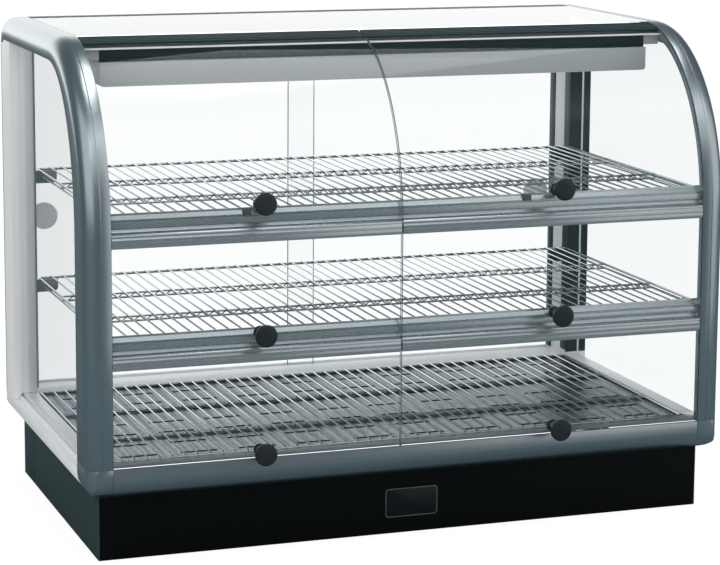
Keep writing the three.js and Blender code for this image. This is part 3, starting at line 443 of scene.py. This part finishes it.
def along_frame(x, deep, low):
    """Where one corner of the section runs: up the front, round the bend and down behind."""
    run = [(x, deep, z) for z in (FRAME_FOOT, STRAIGHT_LOW, STRAIGHT_HIGH)]
    for i in range(BEND_STEPS + 1):
        t = math.pi / 2 * i / BEND_STEPS
        run.append((x, BEND_DEPTH - (BEND_DEPTH - deep) * math.cos(t),
                    BEND_FOOT + (BEND_RISE - low) * math.sin(t)))
    for i in range(REAR_BEND_STEPS + 1):
        t = math.pi / 2 * i / REAR_BEND_STEPS
        run.append((x, CASE_DEPTH - REAR_BEND + (REAR_BEND - low) * math.sin(t),
                    CASE_TOP - REAR_BEND + (REAR_BEND - low) * math.cos(t)))
    return run


groove = CASE_HALF - FRAME_ROUND - 2 * GROOVE
frame_section = [(WEB_INSIDE, 0, 0), (groove - GROOVE, 0, 0), (groove, GROOVE, GROOVE),
                 (groove + GROOVE, 0, 0)]
frame_section += [(x, deep, deep) for x, deep in arc(CASE_HALF - FRAME_ROUND, FRAME_ROUND,
                                                     FRAME_ROUND, 270, 360, 14)]
frame_section += [(CASE_HALF, FLANGE_DEEP, FLANGE_LOW), (FLANGE_INSIDE, FLANGE_DEEP, FLANGE_LOW),
                  (FLANGE_INSIDE, WEB_DEEP, WEB_LOW), (WEB_INSIDE, WEB_DEEP, WEB_LOW)]
for side, hand in ((-1, "left"), (1, "right")):
    dress(f"front_corner_{hand}", frame_grey, edge=0.4)
    runs = [along_frame(side * x, deep, low) for x, deep, low in frame_section]
    bent = prism(f"bent_frame_{hand}", list(zip(*runs)), [frame_grey], "case", edge=0.8)
    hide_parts(f"end_frame_{hand}")

# End glasses
# Flat toughened panes that sit in a groove of the side rail and behind the frame's web.
# Light passes straight through, with a faint grey tint and a few wiped smears.
WIPED_ALONG, SMEARS = (9, 9, 2.5), {"Scale": 2.0, "Detail": 3.0}
SMEAR_FROM, SMEAR_ROUGH, SMEAR_DULL = 0.4, 0.002, 0.985


def clear_glass(name, tint, index):
    """Clear pane that bends only the view through it; light falls straight through."""
    material = bpy.data.materials.new(name)
    material.use_nodes = True
    tree = material.node_tree
    shader = tree.nodes["Principled BSDF"]
    spot = add_node(tree, "ShaderNodeTexCoord").outputs["Object"]
    wiped = add_node(tree, "ShaderNodeMapping", Vector=spot, Scale=WIPED_ALONG)
    smear = add_node(tree, "ShaderNodeTexNoise", Vector=wiped.outputs[0], **SMEARS)
    gloss = add_node(tree, "ShaderNodeMapRange", Value=smear.outputs["Fac"],
                     From_Min=SMEAR_FROM, To_Min=0.0, To_Max=SMEAR_ROUGH)
    clean = linear(tint)
    dull = tuple(c * SMEAR_DULL for c in clean[:3]) + (1,)
    feed(tree, shader.inputs["Base Color"], blend(tree, smear.outputs["Fac"], dull, clean))
    feed(tree, shader.inputs["Roughness"], gloss.outputs["Result"])
    feed(tree, shader.inputs["Transmission Weight"], 1.0)
    feed(tree, shader.inputs["IOR"], index)
    open_to_light = add_node(tree, "ShaderNodeBsdfTransparent", Color=clean)
    rays = add_node(tree, "ShaderNodeLightPath")
    straight = calculate(tree, "MAXIMUM", rays.outputs["Is Shadow Ray"],
                         rays.outputs["Is Diffuse Ray"])
    straight = calculate(tree, "MAXIMUM", straight, only_mirrored(tree, rays))
    either = layered(tree, straight, shader, open_to_light)
    feed(tree, tree.nodes["Material Output"].inputs["Surface"], either.outputs[0])
    return material


end_pane = clear_glass("end_pane", "f8f9f9", 1.07)
for hand in ("left", "right"):
    dress(f"end_glass_{hand}", end_pane, edge=0)

# Rear posts and jambs
# Hollow aluminium posts carry the top at the back. A dark jamb closes each one behind, and
# a steel strip carries the racks. The right strip is painted dark as painted shade, and so is the front
# of its post.
strip_dark = surface("strip_dark", "24363a", rough=(0.34, 0.46), grain=(4, 260, 260),
                     tone=0.03, bump=0.02, specular=0.3)
# The right strip takes the dark finish as painted shade; the left one is steel.
for hand, strip_steel_and_shade in (("left", stainless), ("right", strip_dark)):
    dress(f"rear_post_{hand}", pale_aluminium, edge=0.4)
    dress(f"rear_jamb_{hand}", strip_dark, edge=0.4)
    dress(f"shelf_support_{hand}", strip_steel_and_shade, edge=0.2)

# Post shade tapes
# Two dark tapes on the front of the right post, one on each side of its seam, are painted shade.
# They end just short of its foot and head.
SHADE_TAPE_FRONT, SHADE_TAPE_BACK = 499.4, 499.9
SHADE_TAPE_FOOT, SHADE_TAPE_HEAD = 146, 700
SHADE_TAPES = (("inner", 461.2, 482.9), ("outer", 487.3, 499.6))
# Thin dark sheets on the post front: painted shade.
for part, x0, x1 in SHADE_TAPES:
    outline = [(x0, SHADE_TAPE_BACK), (x0, SHADE_TAPE_FRONT), (x1, SHADE_TAPE_FRONT), (x1, SHADE_TAPE_BACK)]
    shade_tape = prism(f"post_shade_tape_{part}",
                 [[(x, y, z) for x, y in outline] for z in (SHADE_TAPE_FOOT, SHADE_TAPE_HEAD)],
                 [strip_dark], "case", edge=0)

# Screws of the strips
# Three small pan-head screws of plain steel hold each strip to its post.
# Each head has a round socket.
SCREW_SEAT, SCREW_DEPTH, SCREW_HEIGHTS = 459.2, 509, (664, 420, 176)
# Radius at each height over the seat
SCREW_HEAD = [(0, 0), (3.4, 0), (3.4, 0.7), (2.9, 1.5), (1.9, 2.0), (1.3, 2.1), (1.3, 1.0), (0, 1.0)]


def turned(name, profile, centre, axis, materials, body, steps=48):
    """A piece turned on a lathe: radius and distance along the axis from its centre."""
    toward = Vector(axis).normalized()
    across = toward.orthogonal().normalized()
    beside = toward.cross(across)
    corners, rings = [], []
    for radius, along in profile:
        middle = Vector(centre) + toward * along
        places = steps if radius else 1
        rings.append(range(len(corners), len(corners) + places))
        for i in range(places):
            t = 2 * math.pi * i / steps
            corners.append(tuple(middle + across * radius * math.cos(t)
                                 + beside * radius * math.sin(t)))
    closing = rings[:1] if len(rings[0]) > 1 else []
    faces = []
    for near, far in zip(rings, rings[1:] + closing):
        for i in range(steps):
            face = tuple(dict.fromkeys((near[i % len(near)], near[(i + 1) % len(near)],
                                        far[(i + 1) % len(far)], far[i % len(far)])))
            if len(face) > 2:
                faces.append(face)
    return piece_of(name, corners, faces, materials, body, edge=0)


screw_steel = surface("screw_steel", "8d9396", rough=(0.2, 0.34), grain=(300, 300, 300),
                      tone=0.06, bump=0.03, metal=1.0)
for side, hand in ((-1, "left"), (1, "right")):
    for number, height in enumerate(SCREW_HEIGHTS):
        screw = turned(f"strip_screw_{hand}_{number}", SCREW_HEAD,
                       (side * SCREW_SEAT, SCREW_DEPTH, height), (-side, 0, 0),
                       [screw_steel], "case", steps=20)

# Top
# A dark rear rail holds the tracks of the doors, and a pale front rail carries the
# canopy and the curved flaps. The flat glass lies between the two.
top_pane = clear_glass("top_pane", "fdfefe", 1.45)
dress("rear_top_rail", strip_dark, edge=0.5)
dress("front_top_rail", pale_aluminium, edge=0.2)
dress("top_glass", top_pane, edge=0)

# Floor plate and element
# The slotted floor of dull, heat-stained stainless steel lies on the rails, and the
# sheathed heating element runs in long loops just under it.
floor_steel = surface("floor_steel", "7d888c", rough=(0.24, 0.4), grain=(3, 260, 260),
                      tone=0.07, bump=0.04, metal=1.0)
sheath = surface("sheath", "6f6a64", rough=(0.4, 0.6), grain=(200, 200, 200),
                 tone=0.12, bump=0.05, metal=0.9)
dress("floor_plate", floor_steel, edge=0)
dress("heating_element", sheath, edge=0)

# Racks
# Three racks of welded, chromed wire: a border and light wires over two cross trusses, each
# of two straight wires with a bent one between. The lower rack's trusses lie flat.
RACK_HALF, RACK_REAR, RACK_ROUND = 456, 496, 6
BORDER_WIRE, LIGHT_WIRE, LIGHT_WIRES = 4.0, 2.6, 47
CROSS_WIRE, BENT_WIRE = 3.0, 2.2
LIGHT_SUNK, CROSS_SUNK = 0.4, 0.2
END_BEND, END_OVER, END_DROP = 2, 1, 1.2
TRUSS_PLACES, TRUSS_DROP, FLAT_TRUSS_WIDTH = (0.3, 0.665), 6.5, 8.5
SIDE_FRONT, SIDE_REAR, SIDE_SLOPE = 32, 42, 6
UPPER_SHELF, LOWER_SHELF, RACK_RISE = 460, 285, 42.3
# Name, front edge, underside, drop and width of the trusses
RACKS = (
    ("upper", 17, UPPER_SHELF + RACK_RISE, TRUSS_DROP, 0),
    ("middle", 17, LOWER_SHELF + RACK_RISE, TRUSS_DROP, 0),
    ("lower", 48, 139.3, 0, FLAT_TRUSS_WIDTH),
)
chrome = surface("chrome", "c9ced1", rough=(0.06, 0.14), grain=(400, 400, 400),
                 tone=0.03, bump=0.01, metal=1.0)


def wires(name, runs, thickness, closed=False):
    """Chromed wires bent through the given points, welded to one piece of the case."""
    curve = bpy.data.curves.new(name, "CURVE")
    curve.dimensions = "3D"
    curve.bevel_depth = thickness / 2 / 1000
    curve.bevel_resolution = 2
    curve.use_fill_caps = True
    for run in runs:
        spline = curve.splines.new("POLY")
        spline.points.add(len(run) - 1)
        for point, spot in zip(spline.points, run):
            point.co = (*place(*spot), 1)
        spline.use_cyclic_u = closed
        spline.use_smooth = True
    curve.materials.append(chrome)
    piece = bpy.data.objects.new(name, curve)
    bpy.context.scene.collection.objects.link(piece)
    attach(piece, "case")
    return piece


half_pitch = RACK_HALF / (LIGHT_WIRES + 1)
for name, front, base, drop, width in RACKS:
    level = base + BORDER_WIRE / 2
    over = level + BORDER_WIRE / 2 + LIGHT_WIRE / 2 - LIGHT_SUNK
    below = over - LIGHT_WIRE / 2 - CROSS_WIRE / 2 + CROSS_SUNK
    outline = rounded_box(-RACK_HALF, RACK_HALF, front, RACK_REAR, RACK_ROUND, steps=4)
    border = wires(f"rack_border_{name}", [[(x, y, level) for x, y in outline]],
                   BORDER_WIRE, closed=True)
    profile = [(front - END_OVER, over - END_DROP), (front + END_BEND, over),
               (RACK_REAR - END_BEND, over), (RACK_REAR + END_OVER, over - END_DROP)]
    spots = [2 * half_pitch * (i + 1) - RACK_HALF for i in range(LIGHT_WIRES)]
    light = wires(f"rack_wires_{name}", [[(x, y, z) for y, z in profile] for x in spots],
                  LIGHT_WIRE)
    rows = [front + (RACK_REAR - front) * share for share in TRUSS_PLACES]
    # How far each straight wire of a truss lies before and below the first
    sides = ((0, 0), (width, drop))
    cross = wires(f"rack_cross_{name}",
                  [[(x, y - before, below - down) for x in (-RACK_HALF, RACK_HALF)]
                   for y in rows for before, down in sides], CROSS_WIRE)
    zigzag = [(half_pitch * (i + 1) - RACK_HALF, *sides[1 - i % 2])
              for i in range(2 * LIGHT_WIRES + 1)]
    bent = wires(f"rack_bent_{name}",
                 [[(x, y - before, below - down) for x, before, down in zigzag] for y in rows],
                 BENT_WIRE)
    if drop:
        profile = [(front + SIDE_FRONT, level), (front + SIDE_FRONT + SIDE_SLOPE, level - drop),
                   (RACK_REAR - SIDE_REAR - SIDE_SLOPE, level - drop), (RACK_REAR - SIDE_REAR, level)]
        wires(f"rack_sides_{name}",
                            [[(x, y, z) for y, z in profile] for x in (-RACK_HALF, RACK_HALF)],
                            CROSS_WIRE)
    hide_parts(f"rack_{name}")

# Shelf rails
# Ribbed satin aluminium extrusions across the front, one under each shelf. Each has a
# bead that the flap below turns on, a seat for the rack and a sloped lip before it.
BEAD_DEPTH, BEAD_HEIGHT, BEAD_ROUND = 4.5, 16.5, 2
# Depth and height of its corners, from the foot of the rail
SHELF_SECTION = [(13, 1), (28, 1), (28, 37), (34, 37), (34, 42), (14, 42), (14, 49), (12, 49),
                 (12, 46.2), (8.6, 40.4), (8.6, 39.6), (10.4, 39.2), (10.4, 37.4), (8.2, 37),
                 (8.2, 28.2), (10.9, 27.4), (8.3, 22.4), (8.3, 21.5), (13, 21.5), (13, 17)]
SHELF_SECTION += arc(BEAD_DEPTH, BEAD_HEIGHT, BEAD_ROUND, 14, 346, 12) + [(13, 16)]
satin_aluminium = surface("satin_aluminium", "b8bfc2", rough=(0.22, 0.3), grain=(3, 200, 200),
                          tone=0.012, bump=0.012, metal=0.8)
for name, base in (("upper", UPPER_SHELF), ("lower", LOWER_SHELF)):
    rail = bar(f"ribbed_rail_{name}", [(y, base + z) for y, z in SHELF_SECTION],
               -RAIL_HALF, RAIL_HALF, [satin_aluminium], "case", edge=0.12)
    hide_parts(f"shelf_rail_{name}")

# Canopy
# A folded trough of light grey painted steel hangs under the front top rail, open below.
# A dark strip with a fine step is set in along its top, as painted shade in the recess under the front
# top rail.
SHADE_STRIP_HALF = 435
SHADE_STRIP_SECTION = [(170.9, 705.6), (170.9, 722.3), (169.7, 722.3), (169.7, 716), (169.1, 715),
                 (169.1, 712.4), (169.7, 711.4), (169.7, 705.6)]
housing_grey = surface("housing_grey", "9ca1a4", rough=(0.4, 0.52), grain=(420, 420, 420),
                       tone=0.03, bump=0.02, specular=0.35)
canopy_shade_matt = surface("canopy_shade_matt", "1c2c30", rough=(0.6, 0.75), grain=(4, 260, 260),
                     tone=0.03, bump=0.02, specular=0.1)
dress("lamp_housing", housing_grey, edge=0.4)
# The dark strip is painted shade.
shade_band = bar("canopy_shade_strip", SHADE_STRIP_SECTION, -SHADE_STRIP_HALF, SHADE_STRIP_HALF, [canopy_shade_matt], "case", edge=0.15)

# Lamp
# A slender quartz tube inside the canopy, with a ceramic cap at each end.
# It warms and lights the shelves from above.
LAMP_SPOT = (0, 223, 689.7)
LAMP_PROFILE = [(0, -434.2), (8, -434.2), (9, -433.2), (9, -405), (8, -404.2), (6, -404.2),
                (6, 404.2), (8, 404.2), (9, 405), (9, 433.2), (8, 434.2), (0, 434.2)]
lamp_quartz = surface("lamp_quartz", "e9e4d8", rough=(0.2, 0.35), grain=(300, 300, 300),
                      tone=0.04, bump=0.02)
tube = turned("quartz_lamp", LAMP_PROFILE, LAMP_SPOT, (1, 0, 0), [lamp_quartz], "case", steps=32)
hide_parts("lamp_tube")

# Curved upper flaps
# Two bent glass flaps with ground edges, side by side. Each hangs from a narrow dark
# profile along its top edge, with fine ribs on its outside.
SEAM, SEAM_GAP, FLAP_END = -26, 2.4, 460.3
PANE_FRONT, PANE_BACK = 2, 6
CURVED_FOOT, CURVED_REACH = 481.5, 194.5
COVER_FRONT, COVER_REAR, COVER_RIBS, RIB_SHARE = 168, 194, 3, 0.9
RIB_HEIGHT, RIB_VALLEY = 1.3, 0.6


def flap_span(side):
    """Both ends of the flaps on one side of the seam."""
    seam = SEAM + side * SEAM_GAP / 2
    return (-FLAP_END, seam) if side < 0 else (seam, FLAP_END)


def bend_points(deep, reach):
    """The front bend at a depth inside it, from its foot as far back as asked."""
    stop = math.acos((BEND_DEPTH - reach) / (BEND_DEPTH - deep))
    return [(BEND_DEPTH - (BEND_DEPTH - deep) * math.cos(stop * i / BEND_STEPS),
             BEND_FOOT + (BEND_RISE - deep) * math.sin(stop * i / BEND_STEPS))
            for i in range(BEND_STEPS + 1)]


def bend_point(deep, y):
    """The point of that bend over a given depth."""
    along = (BEND_DEPTH - y) / (BEND_DEPTH - deep)
    return y, BEND_FOOT + (BEND_RISE - deep) * math.sqrt(1 - along * along)


pane_glass = clear_glass("pane_glass", "fdfefe", 1.2)
ground_edge = surface("ground_edge", "66757a", rough=(0.16, 0.3), grain=(500, 500, 500),
                      tone=0.05, bump=0.05, specular=0.6)
curve_section = [(PANE_BACK, CURVED_FOOT)] + bend_points(PANE_BACK, CURVED_REACH)
curve_section += bend_points(PANE_FRONT, CURVED_REACH)[::-1] + [(PANE_FRONT, CURVED_FOOT)]
curve_section = [spot for spot in curve_section if spot[1] >= CURVED_FOOT]
cover_section = [bend_point(PANE_FRONT, COVER_REAR), bend_point(PANE_FRONT, COVER_FRONT)]
rib_pitch = (COVER_REAR - COVER_FRONT) / (2 * COVER_RIBS + RIB_SHARE)
for i in range(2 * COVER_RIBS + 1):
    for share in (i, i + RIB_SHARE):
        height = RIB_VALLEY if i % 2 else RIB_HEIGHT
        cover_section.append(bend_point(PANE_FRONT - height, COVER_FRONT + rib_pitch * share))
for side, hand in ((-1, "left"), (1, "right")):
    body = f"flap_upper_{hand}"
    pane = bar(f"curved_pane_{hand}", curve_section, *flap_span(side), [pane_glass, ground_edge],
               body, edge=0, cap=1)
    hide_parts(f"flap_glass_upper_{hand}")
    dress(f"flap_hinge_upper_{hand}", strip_dark, edge=0.15)
    cover = bar(f"ribbed_cover_{hand}", cover_section, *flap_span(side), [strip_dark],
                body, edge=0.1)

# Flat flaps
# Four flat glass flaps with ground edges, two to a tier. The head of each is clamped in a
# ribbed aluminium profile whose open socket turns on the bead of the shelf rail above.
SOCKET_ROUND, SOCKET_OUTSIDE = 2.4, 4.2
# Depth and height of its corners, from the foot of the rail that it hangs on
HINGE_SECTION = [(1.2, 0), (1.7, 0), (1.7, 9), (6.3, 9), (6.3, 0), (12, 0), (12, 13.9), (8.45, 15.06)]
HINGE_SECTION += arc(BEAD_DEPTH, BEAD_HEIGHT, SOCKET_ROUND, -20, -265, 12)
HINGE_SECTION += arc(BEAD_DEPTH, BEAD_HEIGHT, SOCKET_OUTSIDE, 95, 180, 8)
HINGE_SECTION += [(1.9, 15.6), (0.3, 12.6), (0.3, 9.2), (0.8, 8.9), (0.8, 8.3), (0.3, 8.0), (0.3, 3.4)]
PANE_HEAD, MIDDLE_FOOT, LOWER_FOOT = 8.7, LOWER_SHELF + 21.5, 143.2
for side, hand in ((-1, "left"), (1, "right")):
    for tier, shelf, foot in (("middle", UPPER_SHELF, MIDDLE_FOOT), ("lower", LOWER_SHELF, LOWER_FOOT)):
        body = f"flap_{tier}_{hand}"
        head = shelf + PANE_HEAD
        pane = bar(f"flat_pane_{tier}_{hand}",
                   [(PANE_FRONT, foot), (PANE_BACK, foot), (PANE_BACK, head), (PANE_FRONT, head)],
                   *flap_span(side), [pane_glass, ground_edge], body, edge=0, cap=1)
        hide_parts(f"flap_glass_{tier}_{hand}")
        grip = bar(f"ribbed_hinge_{tier}_{hand}", [(y, shelf + z) for y, z in HINGE_SECTION],
                   *flap_span(side), [satin_aluminium], body, edge=0.1)
        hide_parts(f"flap_hinge_{tier}_{hand}")

# Knobs
# One round knob of black moulded plastic near the foot of each flap, on a thin washer and
# with a nut behind the glass. The upper ones stand square to the bend.
KNOB = [(0, -6.3), (5.5, -6.3), (5.5, -4.3), (3.2, -4.3), (3.2, 0.3), (9.2, 0.3), (9.2, 1.4),
        (7.6, 1.8), (7.4, 24), (8.4, 27.2), (13.6, 28.2), (15.6, 29.0), (16.3, 30.4),
        (16.5, 32.0), (16.4, 34.6), (15.4, 36.4), (13.4, 37.3), (8, 37.8), (0, 38)]
UPPER_KNOB, MIDDLE_KNOB, LOWER_KNOB = 514.5, 329, 155
knob_black = surface("knob_black", "1a2327", rough=(0.38, 0.55), grain=(700, 700, 700),
                     tone=0.1, bump=0.08, specular=0.4)
rise, reach = UPPER_KNOB - BEND_FOOT, BEND_RISE - PANE_FRONT
shrink = math.sqrt(1 - (rise / reach) ** 2)
lean = math.atan2((BEND_DEPTH - PANE_FRONT) * rise, reach ** 2 * shrink)
leaning = (0, -math.cos(lean), math.sin(lean))
knob_depth = BEND_DEPTH - (BEND_DEPTH - PANE_FRONT) * shrink
for side, hand in ((-1, "left"), (1, "right")):
    middle = sum(flap_span(side)) / 2
    for tier, depth, height, axis in (("upper", knob_depth, UPPER_KNOB, leaning),
                                      ("middle", PANE_FRONT, MIDDLE_KNOB, (0, -1, 0)),
                                      ("lower", PANE_FRONT, LOWER_KNOB, (0, -1, 0))):
        knob = turned(f"knob_{tier}_{hand}", KNOB, (middle, depth, height), axis,
                      [knob_black], f"flap_{tier}_{hand}")
        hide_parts(f"flap_knob_{tier}_{hand}")

# Knob reflections
# A small grey block behind each upper pane, a little to the left of its knob. It is fixed
# to the case and is a painted reflection of the knob in the lip of the rail.
REFLECTION_BLOCK_SECTION = [(7.2, 499), (11.6, 499), (11.6, 509.6), (9, 509.6), (7.2, 507)]
REFLECTION_BLOCK_LENGTH = 13
knob_reflection_grey = surface("knob_reflection_grey", "4b585b", rough=(0.4, 0.55), grain=(400, 400, 400),
                     tone=0.08, bump=0.04, metal=0.3)
# Grey blocks where the knob shows in the rail lip: painted reflection.
for side, hand, from_knob in ((-1, "left", 10.5), (1, "right", 38.5)):
    reflection_block_end = sum(flap_span(side)) / 2 - from_knob
    reflection_block = bar(f"knob_reflection_block_{hand}", REFLECTION_BLOCK_SECTION, reflection_block_end - REFLECTION_BLOCK_LENGTH, reflection_block_end,
                [knob_reflection_grey], "case", edge=0.3)

# Rear doors
# Two sheets of glass slide past each other in the tracks at the back. Each has a ground
# meeting edge and a round finger pull of pale grey plastic near its outer one.
DOOR_FOOT, DOOR_HEAD, EDGE_THICK = 136, 711, 0.3
EDGE_FRONT, EDGE_BACK = 0.3, 4.7
PULL_SIDE, PULL_HEIGHT = 432, 418
PULL = [(0, 0.1), (14.2, 0.1), (15, 0.9), (15, 6.0), (15.6, 6.4), (20.9, 6.4), (21.5, 5.8),
        (21.5, 5.3), (18.7, 5.3), (18.7, -0.3), (21.5, -0.3), (21.5, -0.9), (20.9, -1.4),
        (0, -1.4)]
# Side, hand, depth of the door's track and place of its meeting edge
DOORS = ((-1, "left", 562.5, 24), (1, "right", 572, -18))
pull_grey = surface("pull_grey", "eceeef", rough=(0.4, 0.55), grain=(500, 500, 500),
                    tone=0.04, bump=0.04, specular=0.4)
for side, hand, track, edge in DOORS:
    dress(f"door_glass_{hand}", pane_glass, edge=0)
    out = edge - side * EDGE_THICK
    front, back = track + EDGE_FRONT, track + EDGE_BACK
    outline = [(edge, front), (out, front), (out, back), (edge, back)]
    ground = prism(f"meeting_edge_{hand}",
                   [[(x, y, z) for x, y in outline] for z in (DOOR_FOOT, DOOR_HEAD)],
                   [ground_edge], f"door_{hand}", edge=0)
    pull = turned(f"finger_pull_{hand}", PULL, (side * PULL_SIDE, track, PULL_HEIGHT), (0, 1, 0),
                  [pull_grey], f"door_{hand}")
    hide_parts(f"door_pull_{hand}")

# Thermostat and switch
# A cream thermostat sits inside the rear cover, and its black moulded dial with a pale
# mark outside. Beside it a red rocker tips in a black bezel that snaps into the sheet.
DIAL_SPOT = (-330, 544, 50)
DIAL = [(0, -1.5), (3, -1.5), (3, 0.7), (21.4, 0.7), (22, 1.3), (22, 3.4), (20.6, 5.2),
        (16.6, 5.8), (15.8, 6.6), (15.2, 18.0), (14.2, 19.5), (12.4, 20), (0, 19.6)]
MARK_HALF, MARK_LOW, MARK_HIGH = 0.9, 13.5, 21
MARK_BACK, MARK_FACE = 5.0, 5.9
thermostat_cream = surface("thermostat_cream", "d8d4c8", rough=(0.5, 0.65),
                           grain=(500, 500, 500), tone=0.05, bump=0.05)
rocker_red = surface("rocker_red", "a8201a", rough=(0.25, 0.38), grain=(500, 500, 500),
                     tone=0.05, bump=0.02)
dress("thermostat_body", thermostat_cream, edge=0.6)
dress("switch_housing", knob_black, edge=0.3)
dress("switch_rocker", rocker_red, edge=0.4)
dial = turned("round_dial", DIAL, DIAL_SPOT, (0, 1, 0), [knob_black], "dial", steps=60)
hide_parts("thermostat_dial")
mark = [(-MARK_HALF, MARK_LOW), (MARK_HALF, MARK_LOW), (MARK_HALF, MARK_HIGH), (-MARK_HALF, MARK_HIGH)]
pointer = prism("dial_pointer",
                [[(DIAL_SPOT[0] + x, DIAL_SPOT[1] + y, DIAL_SPOT[2] + z) for x, z in mark]
                 for y in (MARK_BACK, MARK_FACE)], [lamp_quartz], "dial", edge=0.1)

# Cable gland
# A ribbed bush of black rubber with a hole along its middle. It is pressed through the
# rear cover, low on the side away from the dial.
GLAND_SPOT = (350, 544, 36)
GLAND = [(4.5, -13.5), (10, -13.5), (10, 0.3), (14, 0.3), (14, 7.2), (13.2, 8), (11, 8),
         (11, 9.4), (10.4, 15), (9.4, 19.6), (8, 22), (4.5, 22)]
gland = turned("ribbed_gland", GLAND, GLAND_SPOT, (0, 1, 0), [knob_black], "case", steps=36)
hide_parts("cable_gland")
